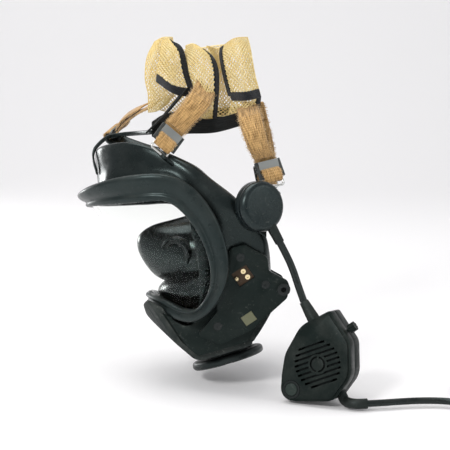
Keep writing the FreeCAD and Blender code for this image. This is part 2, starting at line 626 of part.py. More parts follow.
def buckle_frame():
    """Flat metal frame: x up the strap, y across it, z out; a window for the strap, an eye for the link."""
    width = STRAP_W + 2 * FRAME_RIM
    low = FRAME_EYE_X + LINK_R + 0.6
    plate_box = Part.makeBox(FRAME_TOP - low, width, FRAME_T, Vec(low, -width / 2, -FRAME_T / 2))
    window = Part.makeBox(9, STRAP_W + 1, 10, Vec(FRAME_TOP - 9 - FRAME_RIM, -STRAP_W / 2 - 0.5, -5))
    holes = cylinder(BAR_PIN_R + RUN_GAP, 60, Vec(BAR_X, -30, 0), Vec(0, 1, 0))
    bore = cylinder(LINK_R + RUN_GAP, 2 * LINK_HALF, Vec(FRAME_EYE_X, -LINK_HALF, 0), Vec(0, 1, 0))
    eye = cylinder(LINK_R + 1.2, 2 * EYE_HALF, Vec(FRAME_EYE_X, -EYE_HALF, 0), Vec(0, 1, 0))
    return plate_box.fuse(eye).cut(bore).cut(window).cut(holes)


def buckle_bar():
    """Cam bar with a thumb lip, on two stub pins in the frame's sides."""
    length = STRAP_W + 0.4
    bar = cylinder(1.6, length, Vec(BAR_X, -length / 2, 0), Vec(0, 1, 0))
    lip = Part.makeBox(7.5, length, 1.4, Vec(BAR_X, -length / 2, 0.2))
    pins = cylinder(BAR_PIN_R, length + 2 * FRAME_RIM - 1.6, Vec(BAR_X, -length / 2 - FRAME_RIM + 0.8, 0), Vec(0, 1, 0))
    lip.rotate(Vec(BAR_X, 0, 0), Vec(0, 1, 0), -BAR_REST)
    return bar.fuse(lip).fuse(pins).removeSplitter()


def link_loop():
    """Wire loop from the frame's eye down to the ear's eye."""
    corners = [Vec(EAR_EYE_X, -LINK_HALF, 0), Vec(EAR_EYE_X, LINK_HALF, 0),
               Vec(FRAME_EYE_X, LINK_HALF, 0), Vec(FRAME_EYE_X, -LINK_HALF, 0)]
    path = rounded_path(corners, [2.5] * 4, True)
    start = path.Edges[0].valueAt(path.Edges[0].FirstParameter)
    direction = path.Edges[0].tangentAt(path.Edges[0].FirstParameter)
    circle = Part.Wire(Part.Circle(start, direction, LINK_R).toShape())
    return path.makePipeShell([circle], True, True)


net_corners = [Vec(x, y, NET_LOW) for x, y in wall_outline(NET_PATH, NET_T)]
net_face = Part.Face(Part.makePolygon(net_corners + net_corners[:1]))
near_net = [Vec(x, y, NET_LOW - 30) for x, y in wall_outline(NET_PATH, NET_T + 2 * SOFT_GAP)]
net_space = Part.Face(Part.makePolygon(near_net + near_net[:1])).extrude(Vec(0, 0, 150))

facepiece = in_mask(skirt)
links = []
for name, centre, strap_end, across, ear_root in BUCKLES:
    along = (strap_end - centre).normalize()
    across = (across - along * across.dot(along)).normalize()
    out = along.cross(across)
    place = FreeCAD.Placement(centre, FreeCAD.Rotation(along, across, out, "XYZ"))
    for label, shape in (("frame", buckle_frame()), ("bar", buckle_bar())):
        shape.Placement = place.multiply(shape.Placement)
        pieces["%s_%s" % (name, label)] = shape
    link = link_loop()
    link.Placement = place.multiply(link.Placement)
    links.append(link)
    under = out * (STRAP_T / 2 + 1.6 + SOFT_GAP)
    start = centre + along * 1.5 - under
    clear = centre + along * (FRAME_TOP + 4) - under
    strap = band([start, clear, strap_end], across, STRAP_W, STRAP_T)
    pieces["%s_strap" % name] = biggest(strap.cut(net_space))
    root = MASK.multVec(Vec(*ear_root))
    eye_at = centre + along * EAR_EYE_X
    ear_run = eye_at - root
    ear_across = across - ear_run * (across.dot(ear_run) / ear_run.dot(ear_run))
    ear_tip = eye_at - ear_run.normalize() * 2.6
    ear = band([root, ear_tip], ear_across, EAR_W, EAR_WALL)
    eye = tube(LINK_R + 2.2, LINK_R + RUN_GAP, 2 * EYE_HALF, eye_at - across * EYE_HALF, across)
    ear = ear.fuse(eye).cut(cylinder(LINK_R + RUN_GAP, 2 * LINK_HALF, eye_at - across * LINK_HALF, across))
    for side in (-1, 1):
        notch_at = eye_at + across * (side * LINK_HALF) - across * (LINK_HALF - EYE_HALF)
        ear = ear.cut(cylinder(8, 2 * (LINK_HALF - EYE_HALF), notch_at, across))
    facepiece = facepiece.fuse(biggest(ear))
pieces["buckle_links"] = Part.makeCompound(links)
pieces["facepiece_skirt"] = facepiece.removeSplitter()

# ---------------------------------------------------------------- head harness

pieces["harness_net"] = net_face.extrude(Vec(0, 0, NET_TOP - NET_LOW))
hem_face = net_face.copy()
hem_face.translate(Vec(0, 0, -HEM_H - SOFT_GAP))
pieces["harness_hem"] = hem_face.extrude(Vec(0, 0, HEM_H))


def upright_ribbon(points, width, thickness):
    """Ribbon standing on edge, lofted between upright sections at each point."""
    wires = []
    for i, point in enumerate(points):
        run = points[min(i + 1, len(points) - 1)] - points[max(i - 1, 0)]
        side = Vec(-run.y, run.x, 0).normalize() * (thickness / 2)
        rise = Vec(0, 0, width / 2)
        corners = [point - side - rise, point + side - rise, point + side + rise, point - side + rise]
        wires.append(Part.makePolygon(corners + corners[:1]))
    return Part.makeLoft(wires, True, True)


crown = upright_ribbon(CROWN_BAND, CROWN_BAND_W, CROWN_BAND_T)
buckle_room = Part.makeSphere(STRAP_W / 2 + FRAME_RIM + 4, BUCKLES[0][1])
pieces["crown_band"] = biggest(crown.cut(facepiece).cut(buckle_room))

# ---------------------------------------------------------------- voice module

base = cylinder(MODULE_R, MODULE_BASE_T)
base = base.cut(cylinder(MODULE_R - MODULE_WALL, MODULE_BASE_T, Vec(0, 0, MODULE_WALL)))
cover = cylinder(MODULE_R, MODULE_DOME, Vec(0, 0, MODULE_BASE_T + SOFT_GAP / 3))
top_rim = [edge for edge in cover.Edges if abs(edge.CenterOfMass.z - MODULE_BASE_T - SOFT_GAP / 3 - MODULE_DOME) < 0.01]
cover = cover.makeFillet(MODULE_DOME * 0.75, top_rim)
inside = cylinder(MODULE_R - MODULE_WALL, MODULE_DOME - MODULE_WALL, Vec(0, 0, MODULE_BASE_T - 0.1))
edges = [edge for edge in inside.Edges if edge.CenterOfMass.z > MODULE_BASE_T + 1 and edge.Length > 100]
inside = inside.makeFillet(MODULE_DOME * 0.5, edges)
cover = cover.cut(inside)
gland_axis = Vec(GLAND_AXIS).normalize()
gland_at = MODULE_AT + MODULE_AXIS * (MODULE_BASE_T + 1.5) + gland_axis * (MODULE_R - 5)
gland_hole = cylinder(5.2, 30, gland_at - gland_axis * 4, gland_axis)
foot_at = MODULE_AT - MODULE_AXIS.cross(gland_axis).normalize() * FOOT_OUT
foot = cylinder(FOOT_R, FOOT_L, foot_at + MODULE_AXIS * (MODULE_WALL / 2), MODULE_AXIS * -1)
module_base = in_mask(turned(base, MODULE_AXIS, MODULE_AT).fuse(foot).cut(gland_hole)).cut(facepiece)
pieces["module_base"] = biggest(module_base)
pieces["module_cover"] = in_mask(turned(cover, MODULE_AXIS, MODULE_AT).cut(gland_hole))
gland = Part.makeCone(5.0, MIC_LEAD_R + 0.9, GLAND_L + 5, gland_at, gland_axis)
pieces["module_gland"] = in_mask(gland)
gland_end = MASK.multVec(gland_at + gland_axis * (GLAND_L + 5))
print("gland end", gland_end)

# ---------------------------------------------------------------- lapel microphone

MIC = (FreeCAD.Placement(MIC_AT, FreeCAD.Rotation(Vec(0, 0, 1), -MIC_YAW))
       .multiply(FreeCAD.Placement(Vec(), FreeCAD.Rotation(Vec(1, 0, 0), 90 - MIC_LEAN))))


def on_mic(shape):
    """Place a shape drawn with +X right, +Y up and +Z out of the microphone's face."""
    copy = shape.copy()
    copy.Placement = MIC.multiply(copy.Placement)
    return copy


def mic_face(grow, depth):
    points = [Vec(u, v, -depth) for u, v, r in MIC_OUTLINE]
    face = Part.Face(rounded_path(points, [corner[2] for corner in MIC_OUTLINE], True))
    return Part.Face(face.OuterWire.makeOffset2D(grow)) if grow else face


def mic_shell(top, bottom):
    return mic_face(0, bottom).extrude(Vec(0, 0, bottom - top))


front_shell = mic_shell(MIC_TAPER, MIC_SPLIT).fuse(mic_face(-MIC_TAPER, MIC_TAPER).extrude(Vec(0, 0, MIC_TAPER)))
front_shell = front_shell.cut(mic_face(-MIC_WALL - MIC_TAPER, MIC_SPLIT).extrude(Vec(0, 0, MIC_SPLIT - MIC_WALL)))
slant = math.radians(SLOT_SLANT)
for i in range(-4, 5):
    offset = i * SLOT_PITCH
    length = 2 * math.sqrt(GRILLE_R ** 2 - offset ** 2)
    slot = Part.makeBox(length, SLOT_W, 10, Vec(-length / 2, offset - SLOT_W / 2, -8))
    slot = slot.cut(cylinder(9.5, 12, Vec(0, 0, -9)))
    slot.rotate(Vec(0, 0, 0), Vec(0, 0, 1), SLOT_SLANT)
    front_shell = front_shell.cut(slot)
front_shell = front_shell.cut(tube(7.6, 5.8, 10, Vec(0, 0, -8)).cut(Part.makeBox(2, 30, 20, Vec(-1, -15, -10))))
ptt_at = Vec(PTT_AT[0], PTT_AT[1], 0)
front_shell = front_shell.cut(cylinder(PTT_RING_R + SOFT_GAP, 20, ptt_at - Vec(0, 0, 10)))
back_shell = mic_shell(MIC_SPLIT + SOFT_GAP / 3, MIC_T)
back_room = mic_face(-MIC_WALL - 0.5, MIC_T - MIC_WALL).extrude(Vec(0, 0, MIC_T))
back_shell = back_shell.cut(back_room)
ptt_post = cylinder(PTT_RING_R - 1, MIC_T - 1 - MIC_SPLIT - 0.4, ptt_at - Vec(0, 0, MIC_T - 1))
back_shell = back_shell.fuse(ptt_post.common(mic_shell(0, MIC_T)))

boot_at = Vec(-9.0, 37.0, -12.5)
boot_dir_world = (MIC_LEAD[-1] - MIC.multVec(boot_at)).normalize()
boot_dir = MIC.Rotation.inverted().multVec(boot_dir_world)
boot_l = (MIC_LEAD[-1] - MIC.multVec(boot_at)).Length
relief_at = Vec(17.0, -22.0, -16.0)
relief_bend = Vec(24.0, -33.5, -14.5)
boot = Part.makeCone(6.4, MIC_LEAD_R + 0.9, boot_l, boot_at, boot_dir)
boot_hole = cylinder(6.6, 8, boot_at - boot_dir * 3, boot_dir)

relief_end = MIC.inverse().multVec(RADIO_LEAD[0])
relief_in = MIC.inverse().multVec(RADIO_LEAD[0] - (RADIO_LEAD[1] - RADIO_LEAD[0]).normalize() * 13)
relief_points = [relief_at, relief_bend, relief_in, relief_end]
relief_turns = [0, 7, 9, 0]
relief_run = rounded_path(relief_points, relief_turns, False)
relief_r = 4.8
relief_start = (relief_points[1] - relief_points[0]).normalize()
circle = Part.Wire(Part.Circle(relief_points[0], relief_start, relief_r).toShape())
relief = relief_run.makePipeShell([circle], True, True)
relief_hole = cylinder(relief_r + SOFT_GAP, 16, relief_at - relief_start * 4, relief_start)

knob_angle = math.radians(KNOB_TURN)
knob_axis = Vec(math.cos(knob_angle), math.sin(knob_angle), 0)
knob_at = Vec(KNOB_AT[0], KNOB_AT[1], -MIC_SPLIT)
knob_hole = cylinder(1.5 + RUN_GAP, 30, knob_at - knob_axis * 20, knob_axis)
for hole in (boot_hole, relief_hole, knob_hole):
    front_shell = front_shell.cut(hole)
    back_shell = back_shell.cut(hole)
pieces["mic_front_shell"] = on_mic(biggest(front_shell.removeSplitter()))
pieces["mic_lead_boot"] = on_mic(boot)
pieces["radio_lead_relief"] = on_mic(relief)

knob = cylinder(KNOB_R, KNOB_L - 1.5, knob_at + knob_axis * 3.2, knob_axis)
knob = knob.fuse(cylinder(1.5, 10, knob_at - knob_axis * 6, knob_axis))
for i in range(8):
    angle = 2 * math.pi * i / 8
    side = knob_axis.cross(Vec(0, 0, 1))
    rim_at = side * (KNOB_R * math.cos(angle)) + Vec(0, 0, KNOB_R * math.sin(angle))
    knob = knob.cut(cylinder(0.7, 20, knob_at + rim_at - knob_axis * 2, knob_axis))
pieces["mic_side_knob"] = on_mic(knob.removeSplitter())

speaker = cylinder(SPEAKER_R, 2.0, Vec(0, 0, -4.3)).fuse(cylinder(11, 4.5, Vec(0, 0, -8.8)))
pieces["mic_speaker"] = on_mic(speaker.removeSplitter())
bezel = tube(PTT_RING_R, PTT_R + 0.4, 4.5, ptt_at - Vec(0, 0, 4.2))
pieces["ptt_bezel"] = on_mic(bezel)
button = cylinder(PTT_R, 5.5, ptt_at - Vec(0, 0, 4.6)).fuse(cylinder(1.5, 5.2, ptt_at - Vec(0, 0, 9)))
button_edges = [edge for edge in button.Edges if edge.Length > 30 and edge.CenterOfMass.z > 0]
button = button.makeFillet(0.8, button_edges)
pieces["ptt_button"] = on_mic(button.removeSplitter())
ptt_spring = coil_spring(2.4, 0.4, MIC_SPLIT - 4.9, 5)
ptt_spring.translate(ptt_at - Vec(0, 0, MIC_SPLIT + 0.2))
pieces["ptt_spring"] = on_mic(ptt_spring)

hinge_z = -MIC_T - 4.0
ears = []
for side in (-1, 1):
    lug = Part.makeBox(3, 8, 8.5, Vec(side * (CLIP_W / 2 + 2) - 1.5, CLIP_HINGE_V - 4, -MIC_T - 7.5))
    ears.append(lug)
for lug in ears:
    back_shell = back_shell.fuse(lug)
pin_at = Vec(-CLIP_W / 2 - 4, CLIP_HINGE_V, hinge_z)
back_shell = back_shell.cut(cylinder(CLIP_PIN_R + 0.05, CLIP_W + 8, pin_at, Vec(1, 0, 0)))
pieces["mic_back_shell"] = on_mic(biggest(back_shell.removeSplitter()))
clip_pin = cylinder(CLIP_PIN_R, CLIP_W + 7, pin_at + Vec(0.5, 0, 0), Vec(1, 0, 0))
pieces["clip_pin"] = on_mic(clip_pin)
jaw = Part.makeBox(CLIP_W, 62, 2.2, Vec(-CLIP_W / 2, CLIP_HINGE_V - 46, -MIC_T - CLIP_GAP - 2.2))
jaw = jaw.fuse(Part.makeBox(CLIP_W, 2.2, CLIP_GAP - 1, Vec(-CLIP_W / 2, CLIP_HINGE_V - 46, -MIC_T - CLIP_GAP)))
for side in (-1, 1):
    knuckle = cylinder(3.0, 5, Vec(side * (CLIP_W / 2 - 2.5) - 2.5, CLIP_HINGE_V, hinge_z), Vec(1, 0, 0))
    web = Part.makeBox(5, 5, 4.5, Vec(side * (CLIP_W / 2 - 2.5) - 2.5, CLIP_HINGE_V - 2.5, -MIC_T - CLIP_GAP - 1))
    jaw = jaw.fuse(knuckle).fuse(web)
jaw = jaw.cut(cylinder(CLIP_PIN_R + RUN_GAP, 60, Vec(-30, CLIP_HINGE_V, hinge_z), Vec(1, 0, 0)))
pieces["clip_jaw"] = on_mic(jaw.removeSplitter())
clip_spring = turned(coil_spring(2.1, 0.35, 8.5, 6), Vec(1, 0, 0), Vec(-4.25, CLIP_HINGE_V, hinge_z))
pieces["clip_spring"] = on_mic(clip_spring)

# ---------------------------------------------------------------- leads

pieces["mic_lead"] = lead_tube("mic_lead", [gland_end] + MIC_LEAD[1:], MIC_LEAD_R)
pieces["radio_lead"] = lead_tube("radio_lead", RADIO_LEAD, RADIO_LEAD_R)
coil_outer = COIL_R + COIL_H / 2
coil = tube(coil_outer, COIL_R - COIL_H / 2, COIL_H, Vec(COIL_AT.x, COIL_AT.y, FLOOR_Z))
pieces["radio_lead_coil"] = coil
plug_at = Vec(COIL_AT.x - PLUG_L / 2 + 6, COIL_AT.y + coil_outer + PLUG_R + SOFT_GAP, FLOOR_Z + PLUG_R + 1.0)
plug = cylinder(PLUG_R, PLUG_L, plug_at, Vec(1, 0, 0)).fuse(cylinder(PLUG_R + 1, 9, plug_at + Vec(PLUG_L - 13, 0, 0), Vec(1, 0, 0)))
plug = plug.fuse(Part.makeCone(RADIO_LEAD_R + 0.8, PLUG_R - 1, 12, plug_at - Vec(12, 0, 0), Vec(1, 0, 0)))
socket_face = cylinder(PLUG_R - 1.2, 5, plug_at + Vec(PLUG_L - 4, 0, 0), Vec(1, 0, 0))
plug = plug.cut(socket_face)
for i in range(4):
    angle = math.pi / 4 + math.pi / 2 * i
    pin_place = plug_at + Vec(PLUG_L - 4.5, 2.6 * math.cos(angle), 2.6 * math.sin(angle))
    plug = plug.fuse(cylinder(0.7, 3.5, pin_place, Vec(1, 0, 0)))
pieces["radio_plug"] = plug.removeSplitter()

# ---------------------------------------------------------------- write

if __name__ == "__main__":
    os.makedirs("parts", exist_ok=True)
    for node, shape in pieces.items():
        print("%-22s solids %d  volume %.0f  %s" % (node, len(shape.Solids), shape.Volume, shape.isValid()))
        shape.exportStep("parts/%s.step" % node)
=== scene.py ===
# %% [markdown]
# # Full face respirator
# A firefighter's mask: a big clear visor in a wide ring, a rubber facepiece with a nose cup behind it,
# a chin housing with an air port, a folded mesh head net on four woven straps, a voice module
# at the temple and a hand microphone on a short lead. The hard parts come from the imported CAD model,
# and this script gives them their finishes and makes the soft parts around them.

# %% Load the frame
import math
import random

import bmesh
import bpy
from mathutils import Matrix, Vector


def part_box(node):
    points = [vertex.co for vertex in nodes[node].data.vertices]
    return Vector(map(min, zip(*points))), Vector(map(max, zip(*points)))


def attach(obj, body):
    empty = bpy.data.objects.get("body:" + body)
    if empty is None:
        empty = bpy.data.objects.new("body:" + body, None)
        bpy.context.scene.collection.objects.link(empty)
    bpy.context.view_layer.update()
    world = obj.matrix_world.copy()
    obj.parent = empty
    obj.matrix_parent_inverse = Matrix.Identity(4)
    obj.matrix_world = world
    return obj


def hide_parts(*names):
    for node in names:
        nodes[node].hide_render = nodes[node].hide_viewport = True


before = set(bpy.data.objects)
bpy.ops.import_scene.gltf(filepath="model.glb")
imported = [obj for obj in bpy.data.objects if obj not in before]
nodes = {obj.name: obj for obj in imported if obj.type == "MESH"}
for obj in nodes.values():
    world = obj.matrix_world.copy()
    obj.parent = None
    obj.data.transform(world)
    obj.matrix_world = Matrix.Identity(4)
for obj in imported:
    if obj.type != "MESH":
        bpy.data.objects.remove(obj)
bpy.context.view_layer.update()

# %% [markdown]
# ## The mask's own frame
# The mask leans back with its nose down, so its pieces are easier to place in its own axes:
# x towards the wearer's back, y across the face and z up the face, in millimetres. One matrix
# takes them to the row frame.

# %% Frame of the mask
MASK = (Matrix.Scale(0.001, 4) @ Matrix.Rotation(math.radians(-10), 4, "X")
        @ Matrix.Rotation(math.radians(-33.8), 4, "Y") @ Matrix.Translation((-9.8, 0, -41.1)))
FLOOR_Z = -0.1843


def at_mask(x, y, z):
    """Point of the mask's own frame, in the row frame."""
    return MASK @ Vector((x, y, z))


# %% [markdown]
# ## Camera
# It stands 1.4 m in front, 10 degrees above, with a long lens so that the mask isn't distorted.

# %% Camera
camera = bpy.data.objects.new("camera", bpy.data.cameras.new("camera"))
bpy.context.scene.collection.objects.link(camera)
camera.data.sensor_width = 36
camera.data.lens = 112
aim = Vector((0.0265, 0.0049, -0.0331))
raised = math.radians(10)
camera.location = aim + Vector((0, -1.4 * math.cos(raised), 1.4 * math.sin(raised)))
camera.rotation_euler = (aim - camera.location).to_track_quat("-Z", "Y").to_euler()
bpy.context.scene.camera = camera

# %% [markdown]
# ## Node groups
# A material is a graph of nodes. An effect that many finishes share is built once as a group with
# named inputs, so each material places it with its own values. Two are enough for hard parts:
# a fine moulded grain for the bump and a soft dust that lightens the faces that look up.


# %% Helpers for materials
def new_group(name, inputs, outputs):
    """Empty shader group with float or colour sockets; returns the tree and its two end nodes."""
    tree = bpy.data.node_groups.new(name, "ShaderNodeTree")
    for label, kind, value in inputs:
        socket = tree.interface.new_socket(name=label, in_out="INPUT", socket_type=kind)
        socket.default_value = value
    for label, kind in outputs:
        tree.interface.new_socket(name=label, in_out="OUTPUT", socket_type=kind)
    return tree, tree.nodes.new("NodeGroupInput"), tree.nodes.new("NodeGroupOutput")


def add(tree, kind, **values):
    """New node; keywords set its properties, and a dict named inputs sets its sockets."""
    node = tree.nodes.new(kind)
    for socket, value in values.pop("inputs", {}).items():
        node.inputs[socket].default_value = value
    for label, value in values.items():
        setattr(node, label, value)
    return node


def link(tree, source, target):
    tree.links.new(source, target)


# %% Moulded grain group
FLOAT, COLOR = "NodeSocketFloat", "NodeSocketColor"
grain, grain_in, grain_out = new_group(
    "moulded_grain", [("Scale", FLOAT, 1500.0), ("Blotch scale", FLOAT, 60.0)],
    [("Height", FLOAT), ("Blotch", FLOAT)])
where = add(grain, "ShaderNodeTexCoord")
pits = add(grain, "ShaderNodeTexNoise", inputs={"Detail": 3.0, "Roughness": 0.6})
blotch = add(grain, "ShaderNodeTexNoise", inputs={"Detail": 4.0, "Roughness": 0.55})
link(grain, where.outputs["Object"], pits.inputs["Vector"])
link(grain, where.outputs["Object"], blotch.inputs["Vector"])
link(grain, grain_in.outputs["Scale"], pits.inputs["Scale"])
link(grain, grain_in.outputs["Blotch scale"], blotch.inputs["Scale"])
link(grain, pits.outputs["Fac"], grain_out.inputs["Height"])
link(grain, blotch.outputs["Fac"], grain_out.inputs["Blotch"])

# %% Dust and scuff group
scuff, scuff_in, scuff_out = new_group(
    "dust_and_scuffs", [("Base", COLOR, (0.1, 0.1, 0.1, 1)), ("Dust", COLOR, (0.4, 0.4, 0.38, 1)),
                        ("Amount", FLOAT, 0.2), ("Scuffs", FLOAT, 0.2)],
    [("Color", COLOR)])
where = add(scuff, "ShaderNodeTexCoord")
facing = add(scuff, "ShaderNodeNewGeometry")
split = add(scuff, "ShaderNodeSeparateXYZ")
up = add(scuff, "ShaderNodeMapRange",
         inputs={"From Min": -0.2, "From Max": 1.0, "To Min": 0.15, "To Max": 1.0})
cloud = add(scuff, "ShaderNodeTexNoise", inputs={"Scale": 45.0, "Detail": 6.0, "Roughness": 0.65})
cloud_range = add(scuff, "ShaderNodeMapRange", inputs={"From Min": 0.38, "From Max": 0.72})
streak = add(scuff, "ShaderNodeTexNoise",
             inputs={"Scale": 260.0, "Detail": 4.0, "Roughness": 0.7, "Distortion": 1.5})
streak_range = add(scuff, "ShaderNodeMapRange", inputs={"From Min": 0.6, "From Max": 0.75})
by_up = add(scuff, "ShaderNodeMath", operation="MULTIPLY")
by_amount = add(scuff, "ShaderNodeMath", operation="MULTIPLY")
by_scuffs = add(scuff, "ShaderNodeMath", operation="MULTIPLY")
total = add(scuff, "ShaderNodeMath", operation="ADD", use_clamp=True)
mix = add(scuff, "ShaderNodeMix", data_type="RGBA")
link(scuff, where.outputs["Object"], cloud.inputs["Vector"])
link(scuff, where.outputs["Object"], streak.inputs["Vector"])
link(scuff, facing.outputs["Normal"], split.inputs["Vector"])
link(scuff, split.outputs["Z"], up.inputs["Value"])
link(scuff, cloud.outputs["Fac"], cloud_range.inputs["Value"])
link(scuff, streak.outputs["Fac"], streak_range.inputs["Value"])
link(scuff, up.outputs["Result"], by_up.inputs[0])
link(scuff, cloud_range.outputs["Result"], by_up.inputs[1])
link(scuff, by_up.outputs["Value"], by_amount.inputs[0])
link(scuff, scuff_in.outputs["Amount"], by_amount.inputs[1])
link(scuff, streak_range.outputs["Result"], by_scuffs.inputs[0])
link(scuff, scuff_in.outputs["Scuffs"], by_scuffs.inputs[1])
link(scuff, by_amount.outputs["Value"], total.inputs[0])
link(scuff, by_scuffs.outputs["Value"], total.inputs[1])
link(scuff, total.outputs["Value"], mix.inputs["Factor"])
link(scuff, scuff_in.outputs["Base"], mix.inputs["A"])
link(scuff, scuff_in.outputs["Dust"], mix.inputs["B"])
link(scuff, mix.outputs["Result"], scuff_out.inputs["Color"])


# %% [markdown]
# ## Finishes of the hard parts
# Moulded black plastic and rubber differ in three things: how sharp the highlight is, how coarse
# the moulded grain is, and how much dust they hold. One function takes those as numbers.


# %% Moulded finish
SPEC_TINT = (0.80, 1.0, 0.98, 1)


def moulded(name, color, rough, rough_spread=0.12, grain_scale=1500.0, depth=0.15, dust=0.25, scuffs=0.15,
            metal=0.0, specular=0.2, dust_color=(0.42, 0.42, 0.38, 1)):
    """Principled material with the grain group on its bump and roughness, and dust over its colour."""
    material = bpy.data.materials.new(name)
    material.use_nodes = True
    tree = material.node_tree
    surface = tree.nodes["Principled BSDF"]
    surface.inputs["Metallic"].default_value = metal
    surface.inputs["Specular IOR Level"].default_value = specular
    surface.inputs["Specular Tint"].default_value = SPEC_TINT
    texture = add(tree, "ShaderNodeGroup", node_tree=grain)
    texture.inputs["Scale"].default_value = grain_scale
    cover = add(tree, "ShaderNodeGroup", node_tree=scuff)
    cover.inputs["Base"].default_value = (*color, 1)
    cover.inputs["Dust"].default_value = dust_color
    cover.inputs["Amount"].default_value = dust
    cover.inputs["Scuffs"].default_value = scuffs
    bump = add(tree, "ShaderNodeBump", inputs={"Strength": depth, "Distance": 0.0004})
    rough_range = add(tree, "ShaderNodeMapRange",
                      inputs={"From Min": 0.3, "From Max": 0.7,
                              "To Min": rough - rough_spread, "To Max": rough + rough_spread})
    link(tree, texture.outputs["Height"], bump.inputs["Height"])
    link(tree, texture.outputs["Blotch"], rough_range.inputs["Value"])
    link(tree, rough_range.outputs["Result"], surface.inputs["Roughness"])
    link(tree, cover.outputs["Color"], surface.inputs["Base Color"])
    link(tree, bump.outputs["Normal"], surface.inputs["Normal"])
    return material


def finish_node(material, *names):
    """Give CAD nodes this material in place of the one they came with."""
    for name in names:
        nodes[name].data.materials.clear()
        nodes[name].data.materials.append(material)


# %% Finishes of the CAD nodes
ring_black = moulded("ring_black", (0.008, 0.012, 0.012), 0.34, dust=0.08, scuffs=0.05, specular=0.3)
housing_black = moulded("housing_black", (0.004, 0.007, 0.006), 0.40, dust=0.06, specular=0.16)
guard_rubber = moulded("guard_rubber", (0.014, 0.017, 0.016), 0.66, grain_scale=900, depth=0.4,
                       dust=0.25, scuffs=0.25)
skirt_rubber = moulded("skirt_rubber", (0.004, 0.006, 0.006), 0.26, dust=0.05, scuffs=0.04, specular=0.3)
cup_rubber = moulded("cup_rubber", (0.005, 0.006, 0.006), 0.22, dust=0.03, scuffs=0.02, specular=0.45)
module_black = moulded("module_black", (0.005, 0.008, 0.009), 0.26, dust=0.06, specular=0.35)
mic_black = moulded("mic_black", (0.004, 0.007, 0.006), 0.40, specular=0.13, grain_scale=2200,
                    depth=0.25, dust=0.10, scuffs=0.08)
port_black = moulded("port_black", (0.007, 0.009, 0.009), 0.36, dust=0.08, specular=0.3)
cable_black = moulded("cable_black", (0.005, 0.005, 0.005), 0.30, dust=0.06, scuffs=0.05, specular=0.35)
relief_black = moulded("relief_black", (0.010, 0.012, 0.011), 0.45, dust=0.10)
button_grey = moulded("button_grey", (0.018, 0.026, 0.022), 0.55, dust=0.1)
bezel_black = moulded("bezel_black", (0.008, 0.009, 0.009), 0.30, dust=0.05)
speaker_black = moulded("speaker_black", (0.006, 0.006, 0.006), 0.7, dust=0.0, scuffs=0.0)
valve_black = moulded("valve_black", (0.016, 0.017, 0.017), 0.35, dust=0.05)
silicone = moulded("silicone", (0.35, 0.33, 0.28), 0.40, dust=0.05, depth=0.05)
steel = moulded("steel", (0.60, 0.60, 0.58), 0.30, metal=1.0, grain_scale=3000, depth=0.05, dust=0.08)
buckle_grey = moulded("buckle_grey", (0.28, 0.29, 0.28), 0.42, metal=0.7, grain_scale=3000,
                      depth=0.08, dust=0.2)
lever_black = moulded("lever_black", (0.04, 0.042, 0.042), 0.35, dust=0.15)
screw_black = moulded("screw_black", (0.02, 0.022, 0.022), 0.3, metal=0.6, dust=0.05)
olive = moulded("olive", (0.13, 0.13, 0.075), 0.6, dust=0.2)
copper = moulded("copper", (0.045, 0.024, 0.012), 0.42, metal=0.3, grain_scale=600, depth=0.4, dust=0.15)
brass = moulded("brass", (0.75, 0.62, 0.38), 0.25, metal=1.0, dust=0.05)
plug_metal = moulded("plug_metal", (0.35, 0.35, 0.33), 0.35, metal=0.9, dust=0.08)

finish_node(ring_black, "visor_ring")
finish_node(housing_black, "chin_housing", "side_plate_left", "side_plate_right")
finish_node(guard_rubber, "chin_guard")
finish_node(skirt_rubber, "facepiece_skirt", "crown_band")
finish_node(cup_rubber, "nose_cup")
finish_node(valve_black, "nose_valve_seats", "exhale_seat", "exhale_cover", "port_neck")
finish_node(silicone, "nose_flap_left", "nose_flap_right", "inlet_disc", "exhale_disc", "port_gasket")
finish_node(port_black, "port_flange")
finish_node(steel, "buckle_links", "port_clamp_ring", "exhale_spring", "ptt_spring", "clip_pin",
            "clip_spring")
finish_node(screw_black, "lug_bushes", "plate_screws")
finish_node(olive, "plate_inserts")
finish_node(copper, "contact_block")
finish_node(brass, "contact_pins")
buckles = ("forehead_left", "forehead_right", "temple_left", "temple_right")
finish_node(lever_black, *[name + "_frame" for name in buckles])
finish_node(buckle_grey, *[name + "_bar" for name in buckles])
finish_node(module_black, "module_base", "module_cover")
finish_node(relief_black, "module_gland", "mic_lead_boot", "radio_lead_relief")
finish_node(mic_black, "mic_front_shell", "mic_back_shell", "clip_jaw", "mic_side_knob")
finish_node(speaker_black, "mic_speaker")
finish_node(bezel_black, "ptt_bezel")
finish_node(button_grey, "ptt_button")
finish_node(plug_metal, "radio_plug")
print("finishes", len(bpy.data.materials))

# %% [markdown]
# ## Visor glass
# The visor is clear polycarbonate. It is a full transmission surface with a low index, so its thin
# wall hardly bends the view, and a faint mist of fine scratches roughens it in patches.

# %% Visor glass
lens_clear = bpy.data.materials.new("lens_clear")
lens_clear.use_nodes = True
tree = lens_clear.node_tree
surface = tree.nodes["Principled BSDF"]
surface.inputs["Base Color"].default_value = (0.97, 0.98, 0.97, 1)
surface.inputs["Transmission Weight"].default_value = 1.0
surface.inputs["IOR"].default_value = 1.08
haze = add(tree, "ShaderNodeTexNoise", inputs={"Scale": 30.0, "Detail": 5.0})
haze_range = add(tree, "ShaderNodeMapRange",
                 inputs={"From Min": 0.45, "From Max": 0.75, "To Min": 0.0, "To Max": 0.06})
where = add(tree, "ShaderNodeTexCoord")
link(tree, where.outputs["Object"], haze.inputs["Vector"])
link(tree, haze.outputs["Fac"], haze_range.inputs["Value"])
link(tree, haze_range.outputs["Result"], surface.inputs["Roughness"])
finish_node(lens_clear, "visor_lens")

